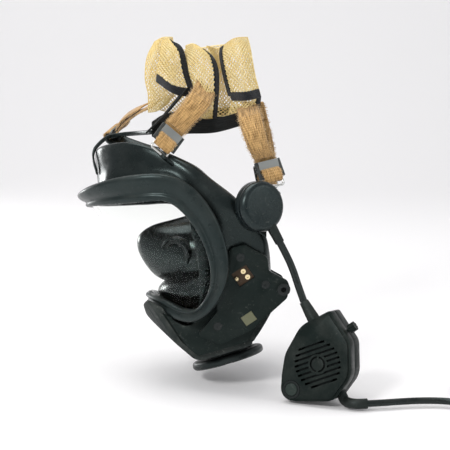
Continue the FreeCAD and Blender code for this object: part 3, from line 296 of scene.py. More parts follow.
# %% [markdown]
# ## Leads
# Two leads are cords. The short one hangs from the voice module to the microphone's boot. The long
# one leaves the microphone along the floor and lies in a coil beside it, out of the camera's view. Their points are the control points of one smooth spline each.


# %% Leads
def cord_curve(name, points, radius, material):
    """Open NURBS cord through the given control points, in millimetres."""
    data = bpy.data.curves.new(name, "CURVE")
    data.dimensions = "3D"
    data.bevel_depth = radius
    data.bevel_resolution = 6
    data.resolution_u = 12
    data.use_fill_caps = True
    spline = data.splines.new("NURBS")
    spline.points.add(len(points) - 1)
    for point, place in zip(spline.points, points):
        point.co = (place[0] / 1000, place[1] / 1000, place[2] / 1000, 1)
    spline.order_u = 3
    spline.use_endpoint_u = True
    data.materials.append(material)
    piece = bpy.data.objects.new(name, data)
    bpy.context.scene.collection.objects.link(piece)
    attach(piece, "mask")
    return piece


def run_length(piece):
    """Length of a cord's own smooth line, in metres."""
    line = piece.data.copy()
    line.bevel_depth = 0
    probe = bpy.data.objects.new("probe", line)
    mesh = bpy.data.meshes.new_from_object(probe)
    spots = [v.co for v in mesh.vertices]
    bpy.data.objects.remove(probe)
    return sum((b - a).length for a, b in zip(spots, spots[1:]))


MIC_LEAD = [(77.96, -81.9, -34.29), (84.6, -80.6, -47), (90.8, -81.6, -61), (95.6, -84, -76),
            (100.8, -88.2, -90)]
RADIO_LEAD = [(158, -127, -177.6), (172, -125, -177.6), (188, -121, -177.6), (208, -117.5, -177.6),
              (228, -118, -177.6), (246, -124, -177.6), (262, -131.5, -177.2)]
COIL_CENTRE, COIL_TURNS, COIL_STEPS = (288, -100), 3, 16
coil_start = math.atan2(-131.5 + 100, 262 - 288) + math.radians(20)
for i in range(COIL_TURNS * COIL_STEPS + 5):
    turn = i / COIL_STEPS
    angle = coil_start + 2 * math.pi * turn
    reach = 38 - 3.0 * math.sin(turn * 2.1) - 1.2 * turn
    height = -177.6 + 5.2 * min(turn, 2.4) * (0.85 + 0.15 * math.sin(3 * angle))
    RADIO_LEAD.append((COIL_CENTRE[0] + reach * math.cos(angle),
                       COIL_CENTRE[1] + reach * math.sin(angle), height))
plug_low, plug_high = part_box("radio_plug")
plug_mid_y, plug_mid_z = (plug_low[1] + plug_high[1]) * 500, (plug_low[2] + plug_high[2]) * 500
plug_in = plug_low[0] * 1000
RADIO_LEAD += [(311, -88, -167), (301, -78, -165), (286, -74, -161), (272, -76, -158), (258, -76, -158.5),
               (249.5, -69, -165), (249.5, -55, -171), (256, plug_mid_y, -173)]
RADIO_LEAD += [(plug_in - 5, plug_mid_y, plug_mid_z), (plug_in + 3, plug_mid_y, plug_mid_z)]

MIC_LEAD_R, RADIO_LEAD_R = 0.0035, 0.0032
mic_lead = cord_curve("microphone_lead", MIC_LEAD, MIC_LEAD_R, cable_black)
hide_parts("mic_lead")
radio_lead = cord_curve("set_lead", RADIO_LEAD, RADIO_LEAD_R, cable_black)
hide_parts("radio_lead", "radio_lead_coil")
run_length(mic_lead)
run_length(radio_lead)
print("leads", round(run_length(mic_lead), 4), round(run_length(radio_lead), 4))

# %% [markdown]
# ## Smooth surfaces from few points
# Every soft piece is a smooth surface through a small table of points, given in rows. A grid is
# laid over it and thickened, so the table stays short and the shape has no corners of its own.


# %% Helpers for surfaces
def curve_point(points, t):
    """Point at t, from 0 to 1, of the smooth curve through the points."""
    spans = len(points) - 1
    place = min(max(t, 0.0), 1.0) * spans
    i = min(int(place), spans - 1)
    f = place - i
    here, there = Vector(points[i]), Vector(points[i + 1])
    before = Vector(points[i - 1]) if i > 0 else here * 2 - there
    after = Vector(points[i + 2]) if i + 2 <= spans else there * 2 - here
    bend = before * 2 - here * 5 + there * 4 - after
    rest = here * 3 - before - there * 3 + after
    return (here * 2 + (there - before) * f + bend * f ** 2 + rest * f ** 3) * 0.5


def sheet_point(rows, u, v):
    """Point of the smooth sheet through rows of points: u along a row, v down the rows."""
    return curve_point([curve_point(row, u) for row in rows], v)


def grid_mesh(name, place, across, along, wrap=False):
    """Mesh of a grid over place(u, v), in millimetres, with a UV map in metres of cloth."""
    bm = bmesh.new()
    layer = bm.loops.layers.uv.new("cloth")
    last_row = along if wrap else along + 1
    spots = [[bm.verts.new(place(i / across, j / along) / 1000) for i in range(across + 1)]
             for j in range(last_row)]
    wide = sum((a.co - b.co).length for a, b in zip(spots[last_row // 2], spots[last_row // 2][1:]))
    middle = [row[across // 2].co for row in spots]
    tall = sum((a - b).length for a, b in zip(middle, middle[1:]))
    for j in range(along):
        for i in range(across):
            ring = [(i, j), (i + 1, j), (i + 1, j + 1), (i, j + 1)]
            face = bm.faces.new([spots[b % last_row][a] for a, b in ring])
            face.smooth = True
            for loop, (a, b) in zip(face.loops, ring):
                loop[layer].uv = (a / across * wide, b / along * tall)
    mesh = bpy.data.meshes.new(name)
    bm.to_mesh(mesh)
    bm.free()
    return mesh, wide, tall


def soft_piece(name, mesh, material, thick=0.0, smooth=0, centre=0.0, body="mask"):
    """Object of a mesh, thickened and smoothed, that rides on a body."""
    piece = bpy.data.objects.new(name, mesh)
    mesh.materials.append(material)
    bpy.context.scene.collection.objects.link(piece)
    if thick:
        wall = piece.modifiers.new("wall", "SOLIDIFY")
        wall.thickness = thick / 1000
        wall.offset = centre
        wall.use_even_offset = True
    if smooth:
        finer = piece.modifiers.new("smooth", "SUBSURF")
        finer.levels = smooth
        finer.render_levels = smooth
    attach(piece, body)
    return piece


def world_mm(x, y, z):
    """Point of the mask's own frame, in the row frame, in millimetres."""
    return at_mask(x, y, z) * 1000


# %% [markdown]
# ## Rubber facepiece
# The skirt runs all round the face: a narrow foot inside the visor ring, a waist, a full rounded
# rim and a lip that turns in to seal. Each station is a slice from the crown down to the chin.

# %% Rubber facepiece
SKIRT_AXIS_Z = 45
SKIRT = [
    (0, (-79.5, 48), (-70, 53), (-62, 67), (-53.5, 83), (-49.5, 85.5), (-47, 79)),
    (22, (-75, 51), (-66, 57), (-55, 70), (-42, 86), (-37, 88), (-35, 80)),
    (42, (-62, 60), (-52, 67), (-36, 77), (-18, 86), (-11, 86), (-8, 74)),
    (72, (-16, 80), (-7, 78), (1, 77), (11, 79), (17, 75), (20, 60)),
    (92, (-6, 77), (0, 77), (6, 77), (18, 79), (26, 74), (26, 60)),
    (114, (-16, 83), (-5, 84), (8, 84), (28, 88), (36, 82), (34, 68)),
    (135, (-32, 99), (-12, 98), (10, 97), (34, 98), (41, 91), (34, 78)),
    (150, (-56, 114), (-34, 113), (-8, 111), (26, 110), (34, 102), (28, 88)),
    (180, (-80, 75), (-58, 96), (-28, 114), (4, 125), (18, 119), (14, 104)),
]
ROUND = SKIRT + [(-s[0] % 360, *s[1:]) for s in SKIRT[-2:0:-1]]


def skirt_point(u, v):
    """Point of the skirt: u from the front foot to the lip, v once round from the crown."""
    place = v * len(ROUND)
    i = int(place) % len(ROUND)
    f = place - int(place)
    near = []
    for j in range(i - 1, i + 3):
        angle, *run = ROUND[j % len(ROUND)]
        spot = curve_point([(x, r, 0) for x, r in run], u)
        a = math.radians(angle)
        near.append(Vector((spot.x, -spot.y * math.sin(a), SKIRT_AXIS_Z + spot.y * math.cos(a))))
    return world_mm(*curve_point(near, (1 + f) / 3))


skirt_mesh, _, _ = grid_mesh("facepiece", skirt_point, 16, 72, wrap=True)
skirt = soft_piece("facepiece", skirt_mesh, skirt_rubber, 3.0, 1)
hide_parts("facepiece_skirt")

# %% [markdown]
# ## Ears and straps
# Four rubber ears grow from the skirt's rim and hold the buckles. A woven strap leaves each buckle,
# bulges and twists on its way up, and ends inside the net.

# %% Places of the ears and straps
# name, buckle centre, end of the strap at the net, direction across, ear root, ear root's half width
BUCKLES = [
    ("forehead_left", (-27.3, -63.2, 61.2), (9, -30, 108), (-0.76, -0.12, 0.64), (4, -66, 82), 19),
    ("forehead_right", (-87, 71, 55), (-38, 9, 90), (0.1, 0.98, 0.1), (-12, 50, 103), 19),
    ("temple_left", (69.5, -47, 29), (48, -20, 88), (-0.85, -0.4, -0.3), (34, -75, -12), 22),
    ("temple_right", (69.8, 53.7, 11), (54, 8, 90), (-0.85, 0.4, -0.3), (34, 75, -12), 22),
]
EYE_X, EAR_TIP_HALF, STRAP_HALF = -16.5, 10, 10


def buckle_axes(centre, strap_end, across):
    """Directions up the strap, across it and out of its face."""
    along = (Vector(strap_end) - Vector(centre)).normalized()
    side = Vector(across)
    side = (side - along * side.dot(along)).normalized()
    return along, side, along.cross(side)


for name, centre, strap_end, across, root, root_half in BUCKLES:
    along, side, out = buckle_axes(centre, strap_end, across)
    eye = Vector(centre) + along * EYE_X
    foot = world_mm(*root)
    run = eye - foot
    level = (side - run * (side.dot(run) / run.length_squared)).normalized()
    inward = (world_mm(root[0], root[1] * 0.97, root[2]) - foot)

    def ear_point(u, v):
        half = root_half + (EAR_TIP_HALF - root_half) * min(1.0, v * 1.5) ** 0.6
        if v > 0.9:
            half *= 1 - 2.2 * (v - 0.9)
        return foot + inward + run * (v * 1.01 - 0.06) + level * ((2 * u - 1) * half)

    ear_mesh, _, _ = grid_mesh(name + "_ear", ear_point, 6, 12)
    soft_piece(name + "_ear", ear_mesh, skirt_rubber, 4.0, 2)


# %% [markdown]
# ## Nose cup
# A soft cup inside the facepiece, with a ridge along its top and a raised ring round the valve on
# each side.

# %% Nose cup
# x, centre height, half height, half width of each oval
CUP = [(-2, -18, 43, 42), (-6, -18, 42, 41), (-28, -11, 42, 39), (-46, -2, 39, 32), (-62, 10, 27, 20),
       (-70, 12, 15, 10), (-72, 12, 2, 1.5)]


def cup_point(u, v):
    """Point of the cup: u from the face to the tip, v once round."""
    oval = curve_point([(x, mid, tall) for x, mid, tall, wide in CUP], u)
    width = curve_point([(wide, 0, 0) for x, mid, tall, wide in CUP], u).x
    angle = 2 * math.pi * v
    ridge = 1 + 0.05 * max(0.0, math.cos(angle)) ** 3
    return world_mm(oval.x, width * math.sin(angle), oval.y + oval.z * math.cos(angle) * ridge)


cup_mesh, _, _ = grid_mesh("nose_cup_shell", cup_point, 18, 40, wrap=True)
cup = soft_piece("nose_cup_shell", cup_mesh, cup_rubber, 2.4, 1)
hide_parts("nose_cup")


def lathe_mesh(name, profile, origin, axis, steps=48):
    """Closed ring turned from a profile of (radius, height) about an axis, in millimetres."""
    bm = bmesh.new()
    turn = Vector(axis).to_track_quat("Z", "Y").to_matrix()
    rings = []
    for i in range(steps):
        a = 2 * math.pi * i / steps
        spots = [Vector(origin) + turn @ Vector((r * math.cos(a), r * math.sin(a), h)) for r, h in profile]
        rings.append([bm.verts.new(spot / 1000) for spot in spots])
    for i in range(steps):
        for j in range(len(profile)):
            k = (j + 1) % len(profile)
            after = rings[(i + 1) % steps]
            bm.faces.new((rings[i][j], after[j], after[k], rings[i][k])).smooth = True
    bmesh.ops.recalc_face_normals(bm, faces=bm.faces[:])
    mesh = bpy.data.meshes.new(name)
    bm.to_mesh(mesh)
    bm.free()
    return mesh


VALVE_YAW = math.radians(36)
VALVE_X, VALVE_Y, VALVE_Z = -41, 34.5, 4
# radius and height of the raised ring round a valve
SEAT_RING = [(13.2, 1.0), (14.2, 1.6), (15.6, 1.2), (16.6, -1.5), (16.8, -7.0), (13.4, -7.5)]
for label, hand in (("left", -1), ("right", 1)):
    middle = world_mm(VALVE_X, VALVE_Y * hand, VALVE_Z)
    beyond = world_mm(VALVE_X - math.sin(VALVE_YAW), (VALVE_Y + math.cos(VALVE_YAW)) * hand, VALVE_Z)
    name = "valve_surround_" + label
    ring_mesh = lathe_mesh(name, SEAT_RING, middle, (beyond - middle).normalized())
    soft_piece(name, ring_mesh, cup_rubber, smooth=1)

# %% [markdown]
# ## Cloth and webbing finishes
# The straps are woven from coarse tan yarn: two crossing waves make the weave, and long noise
# streaks along the strap make it uneven. The net is a pale yellow yarn, and the tapes are black.


# %% Cloth finishes
def woven(name, dark, light, pitch_across, pitch_along, depth, fuzz=0.25):
    """Woven cloth on the UV map: ribs across and along, streaked colour and a soft sheen."""
    material = bpy.data.materials.new(name)
    material.use_nodes = True
    tree = material.node_tree
    surface = tree.nodes["Principled BSDF"]
    surface.inputs["Roughness"].default_value = 0.88
    surface.inputs["Specular IOR Level"].default_value = 0.2
    surface.inputs["Sheen Weight"].default_value = fuzz
    cloth = add(tree, "ShaderNodeUVMap", uv_map="cloth")
    warp = add(tree, "ShaderNodeTexWave", bands_direction="X",
               inputs={"Scale": 0.31 / pitch_across, "Distortion": 1.2, "Detail": 2.0, "Detail Scale": 3.0})
    weft = add(tree, "ShaderNodeTexWave", bands_direction="Y",
               inputs={"Scale": 0.31 / pitch_along, "Distortion": 1.0, "Detail": 2.0, "Detail Scale": 3.0})
    stretch = add(tree, "ShaderNodeMapping")
    stretch.inputs["Scale"].default_value = (900.0, 90.0, 1.0)
    streaks = add(tree, "ShaderNodeTexNoise", inputs={"Scale": 1.0, "Detail": 6.0, "Roughness": 0.7})
    spread = add(tree, "ShaderNodeMapRange", inputs={"From Min": 0.3, "From Max": 0.7})
    ribs = add(tree, "ShaderNodeMath", operation="MULTIPLY")
    height = add(tree, "ShaderNodeMath", operation="ADD")
    tone = add(tree, "ShaderNodeMath", operation="MULTIPLY_ADD", inputs={1: 0.35})
    colours = add(tree, "ShaderNodeValToRGB")
    colours.color_ramp.elements[0].position, colours.color_ramp.elements[1].position = 0.25, 0.9
    colours.color_ramp.elements[0].color, colours.color_ramp.elements[1].color = (*dark, 1), (*light, 1)
    bump = add(tree, "ShaderNodeBump", inputs={"Strength": depth, "Distance": 0.0006})
    link(tree, cloth.outputs["UV"], warp.inputs["Vector"])
    link(tree, cloth.outputs["UV"], weft.inputs["Vector"])
    link(tree, cloth.outputs["UV"], stretch.inputs["Vector"])
    link(tree, stretch.outputs["Vector"], streaks.inputs["Vector"])
    link(tree, streaks.outputs["Fac"], spread.inputs["Value"])
    link(tree, warp.outputs["Fac"], ribs.inputs[0])
    link(tree, weft.outputs["Fac"], ribs.inputs[1])
    link(tree, ribs.outputs["Value"], height.inputs[0])
    link(tree, spread.outputs["Result"], height.inputs[1])
    link(tree, ribs.outputs["Value"], tone.inputs[0])
    link(tree, spread.outputs["Result"], tone.inputs[2])
    link(tree, tone.outputs["Value"], colours.inputs["Fac"])
    link(tree, colours.outputs["Color"], surface.inputs["Base Color"])
    link(tree, height.outputs["Value"], bump.inputs["Height"])
    link(tree, bump.outputs["Normal"], surface.inputs["Normal"])
    return material


strap_tan = woven("strap_tan", (0.22, 0.12, 0.035), (0.70, 0.43, 0.17), 0.0016, 0.0022, 0.8, 0.3)
fray_tan = woven("fray_tan", (0.40, 0.25, 0.10), (0.80, 0.58, 0.30), 0.0010, 0.0010, 0.3, 0.6)
net_yarn = woven("net_yarn", (0.74, 0.54, 0.19), (0.97, 0.84, 0.47), 0.0008, 0.0010, 0.5, 0.3)
tape_black = woven("tape_black", (0.005, 0.006, 0.008), (0.020, 0.022, 0.026), 0.0012, 0.0012, 0.7, 0.15)
band_black = woven("band_black", (0.004, 0.005, 0.005), (0.014, 0.015, 0.015), 0.0020, 0.0010, 0.5, 0.1)

# %% [markdown]
# ## Straps
# Each strap is a ribbon of webbing with a second layer folded over it. It rises from its buckle,
# swells away from the head and ends at the net, and a loop of it turns round the buckle's lower
# bar. Loose fibres stand out along the edges.


# %% Straps
def ribbon_point(spine, sides, u, v):
    """Point of a ribbon: u from -1 to 1 across, v along its spine."""
    return curve_point(spine, v) + curve_point(sides, v) * u


def fibres(name, spine, sides, count, seed, long=3.0):
    """Piece of loose fibres along both edges of a ribbon, as thin three-sided hairs."""
    chance = random.Random(seed)
    bm = bmesh.new()
    layer = bm.loops.layers.uv.new("cloth")
    for i in range(count):
        v = chance.random()
        hand = chance.choice((-1, 1))
        base = ribbon_point(spine, sides, hand * 0.97, v)
        outward = curve_point(sides, v).normalized() * hand
        along = (curve_point(spine, min(v + 0.02, 1)) - curve_point(spine, max(v - 0.02, 0))).normalized()
        up = along.cross(outward)
        tip = (base + outward * chance.uniform(0.4, 1.0) * long + along * chance.uniform(-2, 2)
               + up * chance.uniform(-1.4, 1.4))
        bend = (base + tip) / 2 + along * chance.uniform(-0.8, 0.8)
        rows = []
        for spot, size in ((base, 0.22), (bend, 0.16), (tip, 0.05)):
            rows.append([bm.verts.new((spot + along * size * math.cos(a) + up * size * math.sin(a)) / 1000)
                         for a in (0, 2.09, 4.19)])
        for lower, upper in zip(rows, rows[1:]):
            for k in range(3):
                bm.faces.new((lower[k], lower[(k + 1) % 3], upper[(k + 1) % 3], upper[k]))
        bm.faces.new(rows[-1])
        bm.faces.new(rows[0][::-1])
    for face in bm.faces:
        for loop in face.loops:
            loop[layer].uv = (loop.vert.co.x, loop.vert.co.z)
    mesh = bpy.data.meshes.new(name)
    bm.to_mesh(mesh)
    bm.free()
    return soft_piece(name, mesh, fray_tan)


# name, and points between the buckle and the net
SWELL = {
    "forehead_left": [(-12.4, -57, 80), (1.5, -50, 95)],
    "forehead_right": [(-72, 50, 68), (-54, 28, 80)],
    "temple_left": [(57, -49, 54), (50.5, -41, 77)],
    "temple_right": [(66, 42, 40), (60, 24, 68)],
}
TAIL_AT = (0.30, 0.45, 0.62, 0.80)          # places of the folded tail along the strap
# the turn of the webbing round the buckle's lower bar: along the strap, then out of its face
LOOP_PATH = [(1.5, -0.6), (0.5, 2.4), (-4, 3.6), (-9, 3.0), (-11.5, 0.4), (-9, -2.4)]
for number, (name, centre, strap_end, across, _, _) in enumerate(BUCKLES):
    along, side, out = buckle_axes(centre, strap_end, across)
    start = Vector(centre) - out * 2.6 - along * 2
    spine = [start, start + along * 12] + [Vector(p) for p in SWELL[name]] + [Vector(strap_end)]
    twist = [side, side, side * 0.98 + out * 0.10, side * 0.96 - out * 0.14, side]
    sides = [t.normalized() * STRAP_HALF * w for t, w in zip(twist, (0.98, 1.0, 1.06, 1.12, 1.1))]

    def strap_point(u, v):
        crown = 0.8 * (1 - (2 * u - 1) ** 2)
        return ribbon_point(spine, sides, 2 * u - 1, v) + out * crown

    mesh, wide, tall = grid_mesh(name + "_webbing", strap_point, 10, 40)
    webbing = soft_piece(name + "_webbing", mesh, strap_tan, 2.2, 1)
    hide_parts(name + "_strap")
    hair = fibres(name + "_fibres", spine, sides, 260, 11 + number)
    tail_spine = [curve_point(spine, t) + out * 2.9 for t in TAIL_AT]
    tail_sides = [curve_point(sides, t) * 0.96 for t in TAIL_AT]

    def tail_point(u, v):
        crown = 1.0 - (2 * u - 1) ** 2 + 1.2 * math.sin(math.pi * v)
        return ribbon_point(tail_spine, tail_sides, 2 * u - 1, v) + out * crown

    mesh, tail_wide, tail_tall = grid_mesh(name + "_tail", tail_point, 8, 20)
    tail = soft_piece(name + "_tail", mesh, strap_tan, 1.8, 1)
    fray = fibres(name + "_tail_fray", tail_spine, tail_sides, 110, 31 + number)
    loop_spine = [Vector(centre) + along * a + out * b for a, b in LOOP_PATH]
    loop_sides = [side * STRAP_HALF * 0.93] * len(LOOP_PATH)

    def loop_point(u, v):
        return ribbon_point(loop_spine, loop_sides, 2 * u - 1, v)

    mesh, loop_wide, loop_tall = grid_mesh(name + "_loop", loop_point, 8, 24)
    loop = soft_piece(name + "_loop", mesh, strap_tan, 1.8, 1)
    loop_hair = fibres(name + "_loop_fray", loop_spine[1:4], loop_sides[:3], 60, 51 + number, 1.6)

# %% [markdown]
# ## Black bands
# A thin rubber band runs over the brow to the near ear. Two wide bands close the foot of the net,
# and one crosses its side.


# %% Bands
def band_piece(name, spine, side, half, thick, material, steps=28, crown=0.4):
    """Flat band along a spine; side gives its direction across."""
    spine = [Vector(p) for p in spine]
    sides = [Vector(side).normalized() * half] * len(spine)
    normal = (spine[-1] - spine[0]).cross(sides[0]).normalized()

    def place(u, v):
        return ribbon_point(spine, sides, 2 * u - 1, v) + normal * crown * (1 - (2 * u - 1) ** 2)

    mesh, _, _ = grid_mesh(name, place, 6, steps)
    return soft_piece(name, mesh, material, thick, 1)


CROWN = [(-98.5, -15, 22), (-102.6, -8, 34), (-102.6, -2, 42), (-98.3, 4, 48.4), (-89.7, 12, 54.4),
         (-75.9, 12, 57), (-60.4, -6, 60.2), (-43, -40, 65)]
HEM_FRONT = [(-44, -31, 66), (-24, -30, 69), (-4, -27, 69), (18, -35, 71), (44, -25, 77)]
HEM_BACK = [(-44, -28, 67), (-30, 6, 72), (4, 22, 74), (40, 16, 78), (57, -8, 82)]
SIDE_BAND = [(-12, -27, 104), (-20, -31, 94), (-32, -34, 80), (-46, -36, 66)]
crown_band = band_piece("brow_band", CROWN, (0, -0.1, 1), 2.2, 2.2, skirt_rubber, 48)
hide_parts("crown_band")
hem_front = band_piece("net_hem_front", HEM_FRONT, (0.05, -0.25, 1), 7.5, 2.0, band_black)
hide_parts("harness_hem")
band_piece("net_hem_back", HEM_BACK, (0, 0.1, 1), 7, 2.0, band_black)
band_piece("net_side_band", SIDE_BAND, (0.75, -0.15, 0.6), 5.5, 1.8, band_black)

# %% [markdown]
# ## Head net
# The net is knitted mesh with real openings: each panel is a smooth folded sheet, its lattice has a
# diamond for every opening, and the Wireframe modifier turns the lattice into strands. Black tape
# binds the edges that show.


# %% Head net
NET_STEP = 2.1                   # half of a diamond's diagonal, in millimetres
NET_STRAND = 1.5


def net_panel(name, rows):
    """Knitted panel over rows of points; returns the piece and the flat size of its cloth."""
    top = sum((sheet_point(rows, i / 8, 0.5) - sheet_point(rows, (i + 1) / 8, 0.5)).length for i in range(8))
    down = sum((sheet_point(rows, 0.5, i / 8) - sheet_point(rows, 0.5, (i + 1) / 8)).length for i in range(8))
    across, along = 2 * round(top / NET_STEP / 2), 2 * round(down / NET_STEP / 2)
    bm = bmesh.new()
    layer = bm.loops.layers.uv.new("cloth")
    spots = {}
    for j in range(along + 1):
        for i in range(across + 1):
            if (i + j) % 2 == 0:
                spots[i, j] = bm.verts.new(sheet_point(rows, i / across, j / along) / 1000)
    for j in range(along + 1):
        for i in range(across + 1):
            ring = [(i - 1, j), (i, j + 1), (i + 1, j), (i, j - 1)]
            ring = [key for key in ring if key in spots]
            if (i + j) % 2 and len(ring) >= 3:
                face = bm.faces.new([spots[key] for key in ring])
                for loop, key in zip(face.loops, ring):
                    loop[layer].uv = (key[0] * NET_STEP / 1000, key[1] * NET_STEP / 1000)
    area = sum(face.calc_area() for face in bm.faces)
    mesh = bpy.data.meshes.new(name)
    bm.to_mesh(mesh)
    bm.free()
    piece = soft_piece(name, mesh, net_yarn)
    strands = piece.modifiers.new("strands", "WIREFRAME")
    strands.thickness = NET_STRAND / 1000
    strands.use_even_offset = False
    strands.use_boundary = True
    return piece, (top / 1000, down / 1000), area


def tape(name, rows, edge, half):
    """Black binding tape folded over one edge of a panel."""
    if edge == "bottom":
        spine, inner = [[sheet_point(rows, i / 6, v) for i in range(7)] for v in (1, 0.88)]
    else:
        places = (0, 0.12) if edge == "left" else (1, 0.88)
        spine, inner = [[sheet_point(rows, u, i / 6) for i in range(7)] for u in places]
    sides = [(b - a).normalized() * half for a, b in zip(spine, inner)]
    mesh, _, _ = grid_mesh(name, lambda u, v: ribbon_point(spine, sides, 2 * u - 1, v), 4, 24)
    soft_piece(name, mesh, tape_black, 2.4, 1)


# rows from the top down, each from left to right
PANELS = {
    "net_back": [[(-39, 10, 144), (-13, 20, 140), (17, 20, 144), (48, 6, 148)],
                 [(-47, 10, 116), (-13, 22, 110), (22, 22, 112), (55, 8, 119)],
                 [(-46, 8, 84), (-13, 21, 76), (24, 21, 76), (59, 4, 84)]],
    "net_left_back": [[(-42, 5, 149), (-34, -3, 153), (-25, 5, 153)],
                      [(-50, 8, 133), (-39, -4, 137), (-23, 4, 139)],
                      [(-52, 8, 113), (-40, -4, 116), (-23, 4, 117)],
                      [(-49, 6, 97), (-37, -3, 98), (-22, 5, 102)],
                      [(-49, 4, 80), (-40, 0, 82), (-30, 4, 88)]],
    "net_left_front": [[(-34, -6, 151), (-29, -14, 153), (-25, -16, 151)],
                       [(-36, -8, 137), (-24, -24, 140), (-16, -20, 141)],
                       [(-39, -8, 122), (-25, -26, 121), (-11, -22, 119)],
                       [(-40, -8, 115), (-23, -28, 105), (-5, -25, 101)]],
    "net_middle": [[(-11, -14, 146), (-3, -29, 148), (6, -24, 142)],
                   [(-11, -16, 134), (1, -36, 141), (14, -28, 135)],
                   [(-9, -18, 117), (4, -38, 122), (18, -28, 121)],
                   [(-3, -18, 102), (7, -38, 101), (18, -28, 99)],
                   [(1, -16, 78), (8, -32, 77), (16, -24, 76)]],
    "net_inner": [[(9, 0, 145), (18, 10, 142), (26, 0, 145)],
                  [(14, 0, 131), (21, 12, 127), (27, 0, 125)],
                  [(16, 0, 102), (26, 12, 95), (37, 0, 94)],
                  [(6, 0, 78), (24, 8, 76), (41, 0, 79)]],
    "net_right": [[(24, -12, 145), (35, -26, 153), (48, -16, 154)],
                  [(23, -14, 136), (37, -34, 143), (51, -20, 142)],
                  [(27, -14, 115), (42, -36, 120), (55, -22, 119)],
                  [(32, -14, 97), (47, -34, 99), (60, -22, 101)]],
    "net_right_low": [[(34, -12, 96), (47, -28, 98), (59, -18, 98)],
                      [(32, -14, 86), (46, -26, 88), (58, -16, 88)],
                      [(28, -18, 76), (42, -24, 78), (57, -12, 80)]],
}
TAPES = [("net_left_front", "right"), ("net_left_front", "bottom"), ("net_middle", "right"),
         ("net_right", "bottom"), ("net_right", "left"), ("net_right_low", "right")]
WIDE_TAPE, NARROW_TAPE = 4.6, 3.4
made = {}
for name, rows in PANELS.items():
    made[name], flat, area = net_panel(name, rows)
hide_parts("harness_net")
for name, edge in TAPES:
    tape(name + "_tape_" + edge, PANELS[name], edge, WIDE_TAPE if edge == "bottom" else NARROW_TAPE)

# %% [markdown]
# ## Visor ring, lens and chin bowl
# The ring is one smooth closed band on the visor's cylinder, with a lip by the window, a shallow
# groove and a broad crowned outer band. Its stations are angles round the visor and heights, for
# the outer and the inner edge, from the brow down one side to the chin. The lens is a smooth shell
# that reaches a little way under the lip, and a dark bowl closes the space behind its lower part.

# %% Visor ring
# (angle from the front, height) of the outer edge, then of the window's edge
RING = [((0, 106.5), (0, 89.5)), ((22, 105.3), (18, 86.6)), ((40, 101.5), (34, 80.5)),
        ((58, 94), (50, 71)), ((73, 84), (62, 62)), ((84, 73.5), (71, 55)), ((92, 59.5), (77.5, 47.5)),
        ((96.3, 43), (81, 36)), ((97.8, 23), (82.6, 20)), ((96.5, 1), (82.2, 2)), ((92, -21), (79, -18)),
        ((85.5, -38), (74, -33)), ((77, -50), (67, -43.5)), ((67, -57.5), (59, -49)),
        ((56, -61), (51, -50)), ((45.5, -59.5), (42, -43)), ((35, -51), (32, -29.5)),
        ((22, -36), (19, -18)), ((0, -24), (0, -12))]
LOOP = RING + [((-a, b), (-c, d)) for (a, b), (c, d) in RING[-2:0:-1]]
# share of the way from the window's edge to the outer edge, and radius
RING_SECTION = [(0.0, 84.6), (0.0, 88.0), (0.05, 89.4), (0.16, 90.0), (0.24, 89.6), (0.29, 88.4),
                (0.36, 88.2), (0.44, 89.6), (0.60, 91.2), (0.78, 92.0), (0.92, 91.6), (0.99, 90.0),
                (1.0, 86.5), (0.97, 81.2), (0.5, 80.8), (0.10, 81.2)]
RING_STEPS = 120


def on_visor(angle, radius, height):
    """Point on the visor's cylinder: angle from the front in degrees, towards the near side."""
    a = math.radians(angle)
    return world_mm(-radius * math.cos(a), -radius * math.sin(a), height)


def loop_station(v):
    """Outer and window edge at v, once round the ring."""
    place = v * len(LOOP)
    i, f = int(place), place - int(place)
    near = [LOOP[j % len(LOOP)] for j in range(i - 1, i + 3)]
    outer = curve_point([(*edges[0], 0) for edges in near], (1 + f) / 3)
    inner = curve_point([(*edges[1], 0) for edges in near], (1 + f) / 3)
    return outer, inner


def band_mesh(name, stations):
    """Mesh closed both ways through a loop of closed sections."""
    bm = bmesh.new()
    rows = [[bm.verts.new(spot / 1000) for spot in section] for section in stations]
    for i, row in enumerate(rows):
        after = rows[(i + 1) % len(rows)]
        for j in range(len(row)):
            k = (j + 1) % len(row)
            bm.faces.new((row[j], after[j], after[k], row[k])).smooth = True
    bmesh.ops.recalc_face_normals(bm, faces=bm.faces[:])
    mesh = bpy.data.meshes.new(name)
    bm.to_mesh(mesh)
    bm.free()
    return mesh


sections = []
for i in range(RING_STEPS):
    outer, inner = loop_station(i / RING_STEPS)
    spread = outer - inner
    sections.append([on_visor(inner.x + spread.x * share, radius, inner.y + spread.y * share)
                     for share, radius in RING_SECTION])
ring_mesh = band_mesh("visor_ring_band", sections)
ring = soft_piece("visor_ring_band", ring_mesh, ring_black, smooth=1)
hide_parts("visor_ring")

# %% Lens
WINDOW_TOP = [inner for outer, inner in RING[:9]]
WINDOW_FOOT = [inner for outer, inner in RING[:7:-1]]
LENS_R, LENS_WALL, LENS_LAP, LENS_REACH = 85.0, 2.5, 4.0, 84.0


def edge_height(edge, angle):
    """Height of a window edge at this angle from the front."""
    angle = min(angle, edge[-1][0])
    for (a, low), (b, high) in zip(edge, edge[1:]):
        if a <= angle <= b:
            return low + (high - low) * (angle - a) / max(b - a, 1e-6)
    return edge[-1][1]


def lens_point(u, v):
    """Point of the lens: u round the visor, v up it."""
    angle = LENS_REACH * math.sin((2 * u - 1) * math.pi / 2)
    top = edge_height(WINDOW_TOP, abs(angle)) + LENS_LAP
    foot = edge_height(WINDOW_FOOT, abs(angle)) - LENS_LAP
    return on_visor(angle, LENS_R, foot + (top - foot) * v)


lens_mesh, _, _ = grid_mesh("lens_shell", lens_point, 72, 24)
lens = soft_piece("lens_shell", lens_mesh, lens_clear, LENS_WALL, centre=-1)
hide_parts("visor_lens")

